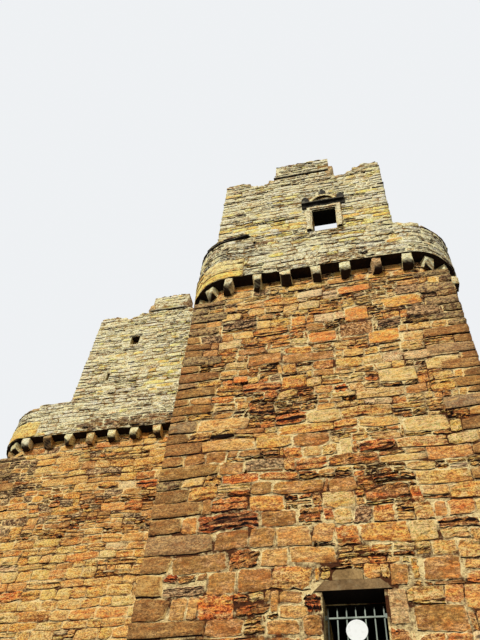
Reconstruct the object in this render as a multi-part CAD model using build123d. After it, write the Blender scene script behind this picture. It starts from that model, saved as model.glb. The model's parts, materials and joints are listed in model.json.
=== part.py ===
"""A ruined stone castle keep on an L plan: a wing that stands forward of the main block,
a corbelled parapet with rounded corners, and a roofless upper house set in behind it."""
import math
import os

from build123d import *

os.makedirs("parts", exist_ok=True)

# Driving dimensions in millimetres. X runs along the entrance front, Y into the keep.
# The wing's near left corner is at X 0 and Y 0, and the ground is at Z 0.
WING_WIDTH = 6300
MAIN_WIDTH = 8200
SETBACK = 5150
MAIN_DEPTH = 7000
WALL = 1600
WALL_TOP = 14930
TURNED_COURSES = 530
FLOOR = 300

# Entrance doorway, high in the wing's front.
DOOR_LEFT = 3000
DOOR_WIDTH = 930
DOOR_SILL = 4550
DOOR_HEIGHT = 1920
LINTEL_HEIGHT = 170
LINTEL_BEARING = 150
LINTEL_TAPER = 180
LINTEL_DEPTH = 420
LINTEL_PROUD = 25
RELIEVING_LEFT = 160
RELIEVING_WIDTH = 490
RELIEVING_HEIGHT = 185
RELIEVING_ROUND = 110
RELIEVING_DEPTH = 300

# Corbel table and parapet.
PARAPET_OUT = 330
PARAPET = 450
PARAPET_HEIGHT = 1470
ROUND_RADIUS = 1200
ROUND_RISE = 380
ROUND_LOSS = 200
ROUND_RUN = 1480
COPING_HEIGHT = 200
COPING_LIP = 55
COPING_SLOPE = 150
CORBEL_WIDTH = 300
CORBEL_DROP = 380
CORBEL_NOSE = 130
CORBEL_PITCH = 765
WALK = 200

# Upper house behind the parapet.
UPPER = 550
UPPER_FRONT = 700
UPPER_RIGHT = 900
UPPER_LEFT = 1320
UPPER_HEIGHT = 7290
BREAK = 680
STRING_HEIGHT = 110
STRING_OUT = 80
RAISED_HEIGHT = 900

# Pedimented window of the upper house, and the plain holes beside it.
WINDOW_LEFT = 3050
WINDOW_WIDTH = 740
WINDOW_SILL = 3250
WINDOW_HEIGHT = 1230
SURROUND = 190
SURROUND_OUT = 70
ROLL = 45
CORNICE_HEIGHT = 210
CORNICE_OUT = 200
CORNICE_WIDTH = 1400
PEDIMENT_WIDTH = 900
PEDIMENT_RISE = 420
PEDIMENT_BAND = 110
FINIAL_WIDTH = 250
FINIAL_HEIGHT = 380
SLIT_WIDTH = 110
SLIT_HEIGHT = 420
SLIT_SILL = 3330
SOCKET = 380
SOCKET_DEPTH = 300
SOCKET_SILL = 5350

# Iron gate in the doorway.
BAR = 18
RAIL = 24
BAR_COUNT = 7
BAR_MARGIN = 48
BAR_TIP = 70
GATE_BACK = 270
GATE_GAP = 110
TOP_RAIL_DROP = 290
LUG = 50
DISC_RADIUS = 160
DISC_THICK = 12

# Broken wall heads: share of the run, and drop as a share of the deepest break.
WING_HEAD = [(0, 0), (0.118, -0.15), (0.217, 0.6), (0.33, 0), (0.685, 0), (0.739, 1), (0.9, -0.05), (1, 0)]
MAIN_HEAD = [(0, 0), (0.116, -0.05), (0.177, 0.33), (0.273, -0.15), (0.57, -0.15), (0.7, 0.8), (0.85, 0.1), (1, 0)]
WING_RAISED = (0.33, 0.685)
MAIN_RAISED = (0.325, 0.555)

# Derived planes.
DEPTH = SETBACK + MAIN_DEPTH
REAR = DEPTH - WALL
ROOM_RIGHT = WING_WIDTH - WALL
ROOM_LEFT = WALL - MAIN_WIDTH
DOOR_RIGHT = DOOR_LEFT + DOOR_WIDTH
DOOR_HEAD = DOOR_SILL + DOOR_HEIGHT
LINTEL_TOP = DOOR_HEAD + LINTEL_HEIGHT
ROUND_INSET = ROUND_RADIUS - PARAPET_OUT
PARAPET_IN = PARAPET - PARAPET_OUT
PARAPET_TOP = WALL_TOP + PARAPET_HEIGHT
WALK_TOP = WALL_TOP + WALK
HEAD = WALK_TOP + UPPER_HEIGHT
UPPER_RIGHT_X = WING_WIDTH - UPPER_RIGHT
UPPER_LEFT_X = UPPER_LEFT - MAIN_WIDTH
UPPER_MAIN_Y = SETBACK + UPPER_FRONT
UPPER_REAR_Y = DEPTH - UPPER_FRONT
CENTRE = ((WING_WIDTH - MAIN_WIDTH) / 2, DEPTH / 2)


def box(x0, x1, y0, y1, z0, z1):
    """A squared block between two corners."""
    block = Box(x1 - x0, y1 - y0, z1 - z0, align=(Align.MIN, Align.MIN, Align.MIN))
    return block.moved(Location((x0, y0, z0)))


def along_y(face, y0, y1):
    """An outline drawn in X and Z, carried from y0 back to y1."""
    return extrude(Plane.XZ * face, amount=y1 - y0, dir=(0, 1, 0)).moved(Location((0, y0, 0)))


def along_x(face, x0, x1):
    """An outline drawn in Y and Z, carried from x0 across to x1."""
    return extrude(Plane.YZ * face, amount=x1 - x0, dir=(1, 0, 0)).moved(Location((x0, 0, 0)))


def turned(face, corner, sweep=90, back=0):
    """An outline drawn in radius and Z, turned round one corner of the parapet."""
    x, y, start = corner
    ring = revolve(Plane.XZ * face, Axis.Z, sweep + back)
    return ring.moved(Location((x, y, 0), (0, 0, start - back)))


def rectangle(a0, a1, z0, z1):
    """A flat outline between two corners."""
    return Polygon((a0, z0), (a1, z0), (a1, z1), (a0, z1), align=None)


def save(name, *shapes):
    """Writes one node, centred on the plan with its base on the ground."""
    shift = Location((-CENTRE[0], -CENTRE[1], 0))
    solids = [solid for shape in shapes for solid in shape.moved(shift).solids()]
    export_step(solids[0] if len(solids) == 1 else Compound(solids), f"parts/{name}.step")


def corners():
    """Centre of each rounded corner, with the angle at which its quarter turn starts."""
    near = ROUND_INSET
    far = DEPTH - ROUND_INSET
    right = WING_WIDTH - ROUND_INSET
    left = ROUND_INSET - MAIN_WIDTH
    return {
        "wing_left": (near, near, 180),
        "wing_right": (right, near, 270),
        "rear_right": (right, far, 0),
        "rear_left": (left, far, 90),
        "main_left": (left, SETBACK + near, 180),
    }


def spandrel(corner):
    """What the top courses of a square wall corner lose where they turn round under the corbels."""
    x, y, start = corner
    low = WALL_TOP - TURNED_COURSES
    square = Box(ROUND_INSET, ROUND_INSET, TURNED_COURSES, align=(Align.MIN, Align.MIN, Align.MIN))
    drum = Cylinder(ROUND_INSET, TURNED_COURSES, align=(Align.CENTER, Align.CENTER, Align.MIN))
    return (square - drum).moved(Location((x, y, low), (0, 0, start)))


def lower_walls():
    """The thick walls up to the parapet, split beside, under and over the doorway."""
    turn = {name: spandrel(corner) for name, corner in corners().items()}
    notch = lintel()
    left_pier = box(0, DOOR_LEFT, 0, WALL, 0, WALL_TOP) - turn["wing_left"] - notch
    right_pier = box(DOOR_RIGHT, WING_WIDTH, 0, WALL, 0, WALL_TOP) - turn["wing_right"] - notch
    head = box(DOOR_LEFT, DOOR_RIGHT, 0, WALL, DOOR_HEAD, WALL_TOP) - notch - relieving_stone()
    save("entrance_wall_left", left_pier)
    save("entrance_wall_right", right_pier)
    save("entrance_wall_base", box(DOOR_LEFT, DOOR_RIGHT, 0, WALL, 0, DOOR_SILL))
    save("entrance_wall_head", head)
    save("wing_left_wall", box(0, WALL, WALL, SETBACK + WALL, 0, WALL_TOP))
    save("wing_right_wall", box(ROOM_RIGHT, WING_WIDTH, WALL, REAR, 0, WALL_TOP))
    front = box(-MAIN_WIDTH, 0, SETBACK, SETBACK + WALL, 0, WALL_TOP)
    save("main_front_wall", front - turn["main_left"])
    save("main_left_wall", box(-MAIN_WIDTH, ROOM_LEFT, SETBACK + WALL, REAR, 0, WALL_TOP))
    back = box(-MAIN_WIDTH, WING_WIDTH, REAR, DEPTH, 0, WALL_TOP)
    save("rear_wall", back - turn["rear_left"] - turn["rear_right"])


def lintel():
    """The doorway's long lintel stone, its ends cut to a taper and its face a little proud."""
    left = DOOR_LEFT - LINTEL_BEARING
    right = DOOR_RIGHT + LINTEL_BEARING
    outline = Polygon(
        (left, DOOR_HEAD),
        (right, DOOR_HEAD),
        (right - LINTEL_TAPER, LINTEL_TOP),
        (left + LINTEL_TAPER, LINTEL_TOP),
        align=None,
    )
    return along_y(outline, -LINTEL_PROUD, LINTEL_DEPTH)


def relieving_stone():
    """The stone with rounded shoulders that takes the load off the lintel."""
    left = DOOR_LEFT + RELIEVING_LEFT
    square = rectangle(left, left + RELIEVING_WIDTH, LINTEL_TOP, LINTEL_TOP + RELIEVING_HEIGHT)
    outline = fillet(square.vertices().group_by(Axis.Y)[-1], RELIEVING_ROUND)
    return along_y(outline, -LINTEL_PROUD, RELIEVING_DEPTH)


def floors():
    """The ground slab and the floor at the doorway's sill, each in two bays."""
    joint = SETBACK + WALL
    for name, top in (("ground_floor", FLOOR), ("entrance_floor", DOOR_SILL)):
        save(f"{name}_wing", box(WALL, ROOM_RIGHT, WALL, joint, top - FLOOR, top))
        save(f"{name}_main", box(ROOM_LEFT, ROOM_RIGHT, joint, REAR, top - FLOOR, top))


def parapet_section(high):
    """Section through a rounded parapet, from its inner to its outer face."""
    return rectangle(ROUND_RADIUS - PARAPET, ROUND_RADIUS, WALL_TOP, high)


def wall_walk():
    """The paved walk over the vault, fitted inside the parapet."""
    inner = SETBACK + PARAPET_IN
    wing = box(0, WING_WIDTH - PARAPET_IN, PARAPET_IN, inner, WALL_TOP, WALK_TOP)
    main = box(PARAPET_IN - MAIN_WIDTH, WING_WIDTH - PARAPET_IN, inner, DEPTH - PARAPET_IN, WALL_TOP, WALK_TOP)
    for corner in corners().values():
        outside = rectangle(ROUND_RADIUS - PARAPET, ROUND_RADIUS * 2, WALL_TOP, WALK_TOP)
        cut = turned(outside, corner)
        wing = wing - cut
        main = main - cut
    save("wall_walk_wing", wing)
    save("wall_walk_main", main)


def parapets():
    """The straight runs between the rounds, and the plain rounds, which have lost their top course."""
    inset = ROUND_INSET
    left = inset - MAIN_WIDTH
    right = WING_WIDTH - inset
    save("wing_front_parapet", box(ROUND_RUN, right, -PARAPET_OUT, PARAPET_IN, WALL_TOP, PARAPET_TOP))
    save("main_front_parapet", box(left, 0, SETBACK - PARAPET_OUT, SETBACK + PARAPET_IN, WALL_TOP, PARAPET_TOP))
    save("rear_parapet", box(left, right, DEPTH - PARAPET_IN, DEPTH + PARAPET_OUT, WALL_TOP, PARAPET_TOP))
    far_right = WING_WIDTH + PARAPET_OUT
    save("right_parapet", box(far_right - PARAPET, far_right, inset, DEPTH - inset, WALL_TOP, PARAPET_TOP))
    far_left = -MAIN_WIDTH - PARAPET_OUT
    near = SETBACK + inset
    save("left_parapet", box(far_left, far_left + PARAPET, near, DEPTH - inset, WALL_TOP, PARAPET_TOP))
    worn = parapet_section(PARAPET_TOP - ROUND_LOSS)
    plain = [turned(worn, corner) for name, corner in corners().items() if name != "wing_left"]
    save("parapet_rounds", *plain)


def coping_outline(face, inner):
    """Section of the entrance round's coping, sloped back on its weather side."""
    low = PARAPET_TOP + ROUND_RISE
    high = low + COPING_HEIGHT
    way = 1 if face > inner else -1
    lip = face + way * COPING_LIP
    back = face - way * COPING_SLOPE
    return Polygon((inner, low), (lip, low), (lip, low + COPING_HEIGHT / 3), (back, high), (inner, high), align=None)


def entrance_round():
    """The taller round by the entrance, which dies into the upper house, and its dark coping."""
    corner = corners()["wing_left"]
    high = PARAPET_TOP + ROUND_RISE
    back = math.degrees(math.asin(ROUND_INSET / ROUND_RADIUS))
    house = box(0, WING_WIDTH, UPPER_FRONT, SETBACK, WALL_TOP, HEAD)
    drum = turned(parapet_section(high), corner, back=back)
    run = box(ROUND_INSET, ROUND_RUN, -PARAPET_OUT, PARAPET_IN, WALL_TOP, high)
    save("entrance_round", drum + run - house)
    cap = turned(coping_outline(ROUND_RADIUS, ROUND_RADIUS - PARAPET), corner, back=back)
    cap = cap + along_x(coping_outline(-PARAPET_OUT, PARAPET_IN), ROUND_INSET, ROUND_RUN)
    step = box(ROUND_RUN, ROUND_RUN + CORBEL_WIDTH, -PARAPET_OUT, 0, PARAPET_TOP, PARAPET_TOP + COPING_HEIGHT)
    save("entrance_round_coping", cap - house, step)


def corbel(x, y, turn):
    """One block with a quarter round nose, facing the given way from a point on the wall."""
    low = WALL_TOP - CORBEL_DROP
    nose = WALL_TOP - CORBEL_NOSE
    sweep = nose - low
    foot = PARAPET_OUT - sweep
    bend = (foot + sweep * math.cos(math.pi / 4), nose - sweep * math.sin(math.pi / 4))
    outline = make_face(
        [
            Line((0, WALL_TOP), (0, low)),
            Line((0, low), (foot, low)),
            ThreePointArc((foot, low), bend, (PARAPET_OUT, nose)),
            Line((PARAPET_OUT, nose), (PARAPET_OUT, WALL_TOP)),
            Line((PARAPET_OUT, WALL_TOP), (0, WALL_TOP)),
        ]
    )
    block = extrude(Plane.XZ * outline, amount=CORBEL_WIDTH / 2, both=True)
    return block.moved(Location((x, y, 0), (0, 0, turn)))


def corbel_row(start, end, turn, first=0):
    """Corbels at an even pitch from one end of a straight run to the other."""
    bays = round(math.dist(start, end) / CORBEL_PITCH)
    shares = [i / bays for i in range(first, bays + 1)]
    return [corbel(start[0] + (end[0] - start[0]) * t, start[1] + (end[1] - start[1]) * t, turn) for t in shares]


def corbel_fan(corner):
    """The two corbels that carry a round between the straight runs, their tails cut to its curve."""
    x, y, start = corner
    drum = Cylinder(ROUND_INSET, WALL_TOP, align=(Align.CENTER, Align.CENTER, Align.MIN)).moved(Location((x, y, 0)))
    fan = []
    for angle in (start + 30, start + 60):
        way = math.radians(angle)
        reach = ROUND_INSET - CORBEL_WIDTH / 4
        block = corbel(x + reach * math.cos(way), y + reach * math.sin(way), angle)
        fan.append(block - drum - outside_drum(x, y))
    return fan


def outside_drum(x, y):
    """The space outside a round's own face."""
    hollow = rectangle(ROUND_RADIUS, ROUND_RADIUS * 2, WALL_TOP - CORBEL_DROP, WALL_TOP)
    return revolve(Plane.XZ * hollow, Axis.Z, 360).moved(Location((x, y, 0)))


def corbels():
    """The whole corbel table, one node to each side."""
    inset = ROUND_INSET
    at = corners()
    left = inset - MAIN_WIDTH
    right = WING_WIDTH - inset
    far = DEPTH - inset
    front = corbel_row((inset, 0), (right, 0), 270) + corbel_fan(at["wing_left"]) + corbel_fan(at["wing_right"])
    save("wing_front_corbels", *front)
    save("wing_left_corbel", corbel(0, inset, 180))
    save("right_corbels", *corbel_row((WING_WIDTH, inset), (WING_WIDTH, far), 0))
    rear = corbel_row((left, DEPTH), (right, DEPTH), 90) + corbel_fan(at["rear_left"]) + corbel_fan(at["rear_right"])
    save("rear_corbels", *rear)
    save("left_corbels", *corbel_row((-MAIN_WIDTH, SETBACK + inset), (-MAIN_WIDTH, far), 180))
    main = corbel_row((-CORBEL_PITCH / 2, SETBACK), (left, SETBACK), 270) + corbel_fan(at["main_left"])
    save("main_front_corbels", *main)


def broken_outline(start, end, head):
    """A ruined wall's whole outline, from the walk up to its broken head."""
    top = [(start + (end - start) * share, HEAD - BREAK * drop) for share, drop in head]
    return Polygon((start, WALK_TOP), *top, (end, WALK_TOP), align=None)


def raised(start, end, shares, drop=0):
    """Where a raised piece of wall stands: its ends, and the levels of its string course and top."""
    low = HEAD - BREAK * drop
    span = end - start
    return start + span * shares[0], start + span * shares[1], low, low + STRING_HEIGHT


def upper_front():
    """The wing's upper front wall, split round its window."""
    near = UPPER_FRONT
    far = UPPER_FRONT + UPPER
    sill = WALK_TOP + WINDOW_SILL
    top = sill + WINDOW_HEIGHT
    right = WINDOW_LEFT + WINDOW_WIDTH
    wall = along_y(broken_outline(0, UPPER_RIGHT_X, WING_HEAD), near, far)
    beyond = HEAD + BREAK
    save("upper_front_left", wall & box(0, WINDOW_LEFT, near, far, WALK_TOP, beyond))
    save("upper_front_right", wall & box(right, UPPER_RIGHT_X, near, far, WALK_TOP, beyond))
    save("upper_front_base", wall & box(WINDOW_LEFT, right, near, far, WALK_TOP, sill))
    save("upper_front_head", wall & box(WINDOW_LEFT, right, near, far, top, beyond))


def upper_rest():
    """The other upper walls, broken like the front, with the main block's slit and socket."""
    inner = UPPER_FRONT + UPPER
    main = along_y(broken_outline(UPPER_LEFT_X, 0, MAIN_HEAD), UPPER_MAIN_Y, UPPER_MAIN_Y + UPPER)
    save("upper_main_front", main - slit() - socket())
    save("upper_wing_left", along_x(broken_outline(inner, UPPER_MAIN_Y + UPPER, WING_HEAD), 0, UPPER))
    back = UPPER_REAR_Y - UPPER
    right = along_x(broken_outline(inner, back, MAIN_HEAD), UPPER_RIGHT_X - UPPER, UPPER_RIGHT_X)
    side = along_x(window_outline((inner + back) / 2), UPPER_RIGHT_X - UPPER, UPPER_RIGHT_X)
    save("upper_right", right - side)
    main_left = broken_outline(UPPER_MAIN_Y + UPPER, back, WING_HEAD)
    save("upper_main_left", along_x(main_left, UPPER_LEFT_X, UPPER_LEFT_X + UPPER))
    rear = along_y(broken_outline(UPPER_LEFT_X, UPPER_RIGHT_X, MAIN_HEAD), back, UPPER_REAR_Y)
    for middle in rear_windows():
        rear = rear - along_y(window_outline(middle), back, UPPER_REAR_Y)
    save("upper_rear", rear)


def rear_windows():
    """Middles of the two rear windows, at the quarter points of the wall."""
    span = UPPER_RIGHT_X - UPPER_LEFT_X
    return [UPPER_LEFT_X + span * share for share in (0.25, 0.75)]


def window_outline(middle, margin=0):
    """A window opening about its middle, or the outline of its surround."""
    half = WINDOW_WIDTH / 2 + margin
    sill = WALK_TOP + WINDOW_SILL
    return rectangle(middle - half, middle + half, sill, sill + WINDOW_HEIGHT + margin)


def plain_surrounds():
    """Plain raised margins round the right and rear windows."""
    inner = UPPER_FRONT + UPPER
    back = UPPER_REAR_Y - UPPER
    middle = (inner + back) / 2
    side = window_outline(middle, SURROUND) - window_outline(middle)
    margins = [along_x(side, UPPER_RIGHT_X, UPPER_RIGHT_X + SURROUND_OUT)]
    for middle in rear_windows():
        outline = window_outline(middle, SURROUND) - window_outline(middle)
        margins.append(along_y(outline, UPPER_REAR_Y, UPPER_REAR_Y + SURROUND_OUT))
    save("plain_window_surrounds", *margins)


def slit():
    """The narrow slit near the main block's left end."""
    left = UPPER_LEFT_X + UPPER * 2
    sill = WALK_TOP + SLIT_SILL
    return box(left, left + SLIT_WIDTH, UPPER_MAIN_Y, UPPER_MAIN_Y + UPPER, sill, sill + SLIT_HEIGHT)


def socket():
    """The blind beam socket over the slit."""
    left = UPPER_LEFT_X + UPPER * 3
    sill = WALK_TOP + SOCKET_SILL
    return box(left, left + SOCKET, UPPER_MAIN_Y, UPPER_MAIN_Y + SOCKET_DEPTH, sill, sill + SOCKET * 1.3)


def raised_heads():
    """The raised pieces of wall, each over its own string course."""
    strings = []
    blocks = []
    drop = MAIN_HEAD[3][1]
    front = raised(0, UPPER_RIGHT_X, WING_RAISED)
    main = raised(UPPER_LEFT_X, 0, MAIN_RAISED, drop)
    for (x0, x1, low, high), near in ((front, UPPER_FRONT), (main, UPPER_MAIN_Y)):
        strings.append(box(x0 - STRING_OUT, x1, near - STRING_OUT, near + UPPER, low, high))
        blocks.append(box(x0, x1, near, near + UPPER, high, high + RAISED_HEIGHT))
    back = UPPER_REAR_Y - UPPER
    x0, x1, low, high = raised(UPPER_LEFT_X, UPPER_RIGHT_X, MAIN_RAISED, drop)
    strings.append(box(x0, x1, back, UPPER_REAR_Y + STRING_OUT, low, high))
    blocks.append(box(x0, x1, back, UPPER_REAR_Y, high, high + RAISED_HEIGHT))
    save("string_courses", *strings)
    save("raised_heads", *blocks)


def window_trim():
    """The window's moulded surround, cornice, round pediment and block finials."""
    face = UPPER_FRONT
    sill = WALK_TOP + WINDOW_SILL
    top = sill + WINDOW_HEIGHT
    right = WINDOW_LEFT + WINDOW_WIDTH
    opening = rectangle(WINDOW_LEFT, right, sill, top)
    outer = rectangle(WINDOW_LEFT - SURROUND, right + SURROUND, sill, top + SURROUND)
    inner = rectangle(WINDOW_LEFT - ROLL, right + ROLL, sill, top + ROLL)
    band = along_y(outer - opening, face - SURROUND_OUT, face)
    step = along_y(outer - inner, face - SURROUND_OUT * 1.6, face - SURROUND_OUT)
    save("window_surround", band + step)
    middle = (WINDOW_LEFT + right) / 2
    low = top + SURROUND
    high = low + CORNICE_HEIGHT
    save("window_cornice", cornice(middle, face, low, high))
    arch = pediment(middle, face, high)
    save("window_pediment", arch)
    half = CORNICE_WIDTH / 2 - FINIAL_WIDTH / 2
    save("window_finials", finial(middle - half, high), finial(middle + half, high))
    save("window_crown", finial(middle, high + PEDIMENT_RISE - PEDIMENT_BAND / 2) - arch)


def cornice(middle, face, low, high):
    """The window's cornice: a quarter hollow under a square fillet, returned at both ends."""
    step = CORNICE_OUT * 0.35
    out = face - CORNICE_OUT
    shoulder = low + (high - low) * 0.6
    bend = (face - step - (CORNICE_OUT - step) * 0.35, shoulder - (shoulder - low) * 0.35)
    outline = make_face(
        [
            Line((face, low), (face - step, low)),
            ThreePointArc((face - step, low), bend, (out, shoulder)),
            Line((out, shoulder), (out, high)),
            Line((out, high), (face, high)),
            Line((face, high), (face, low)),
        ]
    )
    return along_x(outline, middle - CORNICE_WIDTH / 2, middle + CORNICE_WIDTH / 2)


def pediment(middle, face, low):
    """A round headed pediment: a sunk field inside a raised band."""
    def bow(width, rise, depth):
        left = middle - width / 2
        right = middle + width / 2
        arc = ThreePointArc((left, low), (middle, low + rise), (right, low))
        outline = make_face([arc, Line((right, low), (left, low))])
        return along_y(outline, face - depth, face)

    band = bow(PEDIMENT_WIDTH, PEDIMENT_RISE, CORNICE_OUT * 0.8)
    sunk = bow(PEDIMENT_WIDTH - 2 * PEDIMENT_BAND, PEDIMENT_RISE - PEDIMENT_BAND, CORNICE_OUT)
    field = bow(PEDIMENT_WIDTH - 2 * PEDIMENT_BAND, PEDIMENT_RISE - PEDIMENT_BAND, SURROUND_OUT)
    return band - sunk + field


def finial(x, low):
    """A block finial with a waist and a pyramid top."""
    face = UPPER_FRONT
    half = FINIAL_WIDTH / 2
    depth = CORNICE_OUT * 0.8
    base = low + FINIAL_HEIGHT * 0.6
    block = box(x - half, x + half, face - depth, face, low, base)
    cap = Polygon((x - half, base), (x + half, base), (x + half * 0.3, low + FINIAL_HEIGHT),
                  (x - half * 0.3, low + FINIAL_HEIGHT), align=None)
    return block + along_y(cap, face - depth, face)


def gate_bar(x, top):
    """An upright bar with a pointed tip."""
    half = BAR / 2
    middle = GATE_BACK + half
    shaft = box(x - half, x + half, GATE_BACK, GATE_BACK + BAR, DOOR_SILL, top - BAR_TIP)
    foot = Plane((x, middle, top - BAR_TIP)) * Rectangle(BAR, BAR)
    point = Plane((x, middle, top)) * Rectangle(BAR / 6, BAR / 6)
    return shaft + loft([foot, point])


def gate_rail(height):
    """A flat rail across the bars, held at the jambs by a lug at each end."""
    front = GATE_BACK - BAR
    rail = box(DOOR_LEFT, DOOR_RIGHT, front, GATE_BACK, height, height + RAIL)
    for x in (DOOR_LEFT, DOOR_RIGHT - LUG * 0.7):
        rail = rail + box(x, x + LUG * 0.7, front - BAR / 2, GATE_BACK, height - LUG / 3, height + LUG)
    return rail


def gate():
    """The fixed iron gate: pointed bars, rails with lugs, and a blank disc under the top rail."""
    middle = DOOR_LEFT + DOOR_WIDTH / 2
    pitch = (DOOR_WIDTH - 2 * BAR_MARGIN) / (BAR_COUNT - 1)
    places = [middle + (i - (BAR_COUNT - 1) / 2) * pitch for i in range(BAR_COUNT)]
    save("gate_bars", *[gate_bar(x, DOOR_HEAD - GATE_GAP) for x in places])
    top_rail = DOOR_HEAD - TOP_RAIL_DROP
    low_rail = DOOR_SILL + DOOR_HEIGHT * 0.12
    middle_rail = DOOR_SILL + DOOR_HEIGHT * 0.45
    save("gate_rails", *[gate_rail(height) for height in (low_rail, middle_rail, top_rail)])
    centre = top_rail - LUG / 3 - DISC_RADIUS
    disc = along_y(Circle(DISC_RADIUS), GATE_BACK - DISC_THICK, GATE_BACK)
    save("gate_disc", disc.moved(Location((middle, 0, centre))))


lower_walls()
save("door_lintel", lintel())
save("door_relieving_stone", relieving_stone())
floors()
wall_walk()
parapets()
entrance_round()
corbels()
upper_front()
upper_rest()
raised_heads()
window_trim()
plain_surrounds()
gate()
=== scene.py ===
"""Looks for the castle keep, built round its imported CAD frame."""
import json
import math

import bmesh
import bpy
import numpy as np
from mathutils import Matrix, Vector
from mathutils.bvhtree import BVHTree


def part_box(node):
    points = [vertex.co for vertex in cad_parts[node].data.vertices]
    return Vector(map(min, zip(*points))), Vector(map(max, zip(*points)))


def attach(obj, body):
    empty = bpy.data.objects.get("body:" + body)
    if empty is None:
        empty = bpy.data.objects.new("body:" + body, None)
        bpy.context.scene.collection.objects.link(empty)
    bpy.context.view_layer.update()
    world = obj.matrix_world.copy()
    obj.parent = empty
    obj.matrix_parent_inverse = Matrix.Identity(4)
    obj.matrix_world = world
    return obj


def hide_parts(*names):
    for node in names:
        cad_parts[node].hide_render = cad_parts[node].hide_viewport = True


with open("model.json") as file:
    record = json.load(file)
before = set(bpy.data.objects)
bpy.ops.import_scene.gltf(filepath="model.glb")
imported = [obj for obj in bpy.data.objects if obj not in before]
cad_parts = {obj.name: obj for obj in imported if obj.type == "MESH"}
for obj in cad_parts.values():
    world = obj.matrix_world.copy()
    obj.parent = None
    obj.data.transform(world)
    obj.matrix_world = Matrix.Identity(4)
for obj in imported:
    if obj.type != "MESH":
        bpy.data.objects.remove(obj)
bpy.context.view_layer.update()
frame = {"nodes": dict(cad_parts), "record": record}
nodes = frame["nodes"]
rng = np.random.default_rng(11)

# The camera stands on the ground before the wing and looks steeply up at its head.
EYE = (5.064, -15.186, 1.6)
YAW = math.radians(17.56)
PITCH = math.radians(51.24)
ROLL = math.radians(6.18)
LENS_MM = 34.92
SENSOR_MM = 36

# Strengths of the key, the fills and the sky, and the sky's colours as it lights and as the camera sees it.
KEY, FILL, SKY = 2.7, 0.8, 0.53
SKY_LIGHT = (0.86, 0.88, 0.92, 1)
SKY_SEEN = (0.86, 0.88, 0.9, 1)
FLOOR_RADIUS, FLOOR_DROP = 120, 0.002

# Masonry in metres: joints, heights of courses, and how far the courses wave and stay still near openings.
BED = 0.007
JOINT = 0.014
COURSE = (0.19, 0.34)
UPPER_COURSE = (0.13, 0.22)
PARAPET_COURSE = (0.13, 0.21)
ROUND_COURSE = (0.26, 0.34)
WAVE = 0.04
STILL_REACH = 0.6

# How a course is cut: the length of a group of stones, the least lengths of one stone, how uneven the parts
# are, and the height under which a group has two rows at most.
GROUP = (0.45, 1.3)
LEAST = (0.22, 0.42)
UNEVEN = (0.6, 1.4)
THIN_GROUP = 0.24
ROUND_STONE = (0.6, 1.2)

# No stone is left thinner than this where one is cut away, in the thick walls and in the upper house.
LEAST_LEFT, LEAST_UPPER = 0.05, 0.04

# A stone's face: the worn edge round it, how far its border sinks into the wall, how far its corners shift,
# how uneven it is along, up and out, how much it bulges, and how far its layers stand apart.
ARRIS_WIDE, ARRIS_TALL = 0.012, 0.014
BORDER = -0.003
SKEW = 0.013
UNEVEN_ALONG, UNEVEN_FACE = 0.007, 0.005
BULGE = 0.12
LAYER = 0.017

# How far stones stand out of a wall.
PROUD = (0.006, 0.016)

# Room for mortar smears inside the border, on stones that the photo shows and on those that it misses.
RIM_NEAR, RIM_FAR = 0.72, 0.25

# Above this height the main front's courses are split into rows more often.
MIXED_ABOVE = 11.2

# The turned courses, the rounds, and how far corner stones may reach.
TURNED = 0.53
ROUND = 1.2
CORNER_ROUND = 0.87
ARC_STEPS = 12
QUOIN_RUN = 1.5
UPPER_RUN = 1.0
UPPER_ARM = 0.62

# Room for the surrounds of the plain windows, and how far openings lie from a wall's ends, foot and head.
SURROUND = 0.19
CLEAR, HEAD_CLEAR = 0.25, 0.3

# Lengths of the loose stones on the upper house's heads and on the parapet, and how deep they are bedded.
HEAD_STONE = (0.16, 0.42)
CREST_STONE = (0.3, 0.62)
BEDDED = 0.07

# How far inside a face the wall's head is measured, and the step between the measures.
HEAD_INSET = 0.1
HEAD_STEP = 0.04

# Walls of the upper house in the order of its plan.
SIDES = ("front", "right", "rear", "main_left", "main_front", "wing_left")

# Heights below which the photo misses the wing's front and the main front.
LOW_WING = 4.9
LOW_MAIN = 8.0

# How fast red, green and blue fall where painted shade darkens a stone, so that its shaded hollows turn warm.
DEEPEN = np.array([0.85, 1.16, 1.56])

# Stone colours as seen in daylight, sRGB 0 to 255.
STONE = {
    "block": (164, 123, 64),
    "fawn": (208, 162, 90),
    "tan": (255, 208, 122),
    "orange": (255, 182, 90),
    "rust": (244, 146, 74),
    "red": (216, 114, 54),
    "plum": (150, 92, 50),
    "umber": (150, 110, 58),
    "ochre": (252, 204, 106),
    "honey": (255, 228, 136),
    "cream": (255, 248, 206),
    "straw": (255, 242, 188),
    "ash": (248, 232, 184),
    "olive": (196, 182, 130),
    "grey": (158, 140, 104),
    "soot": (98, 78, 54),
}

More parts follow.
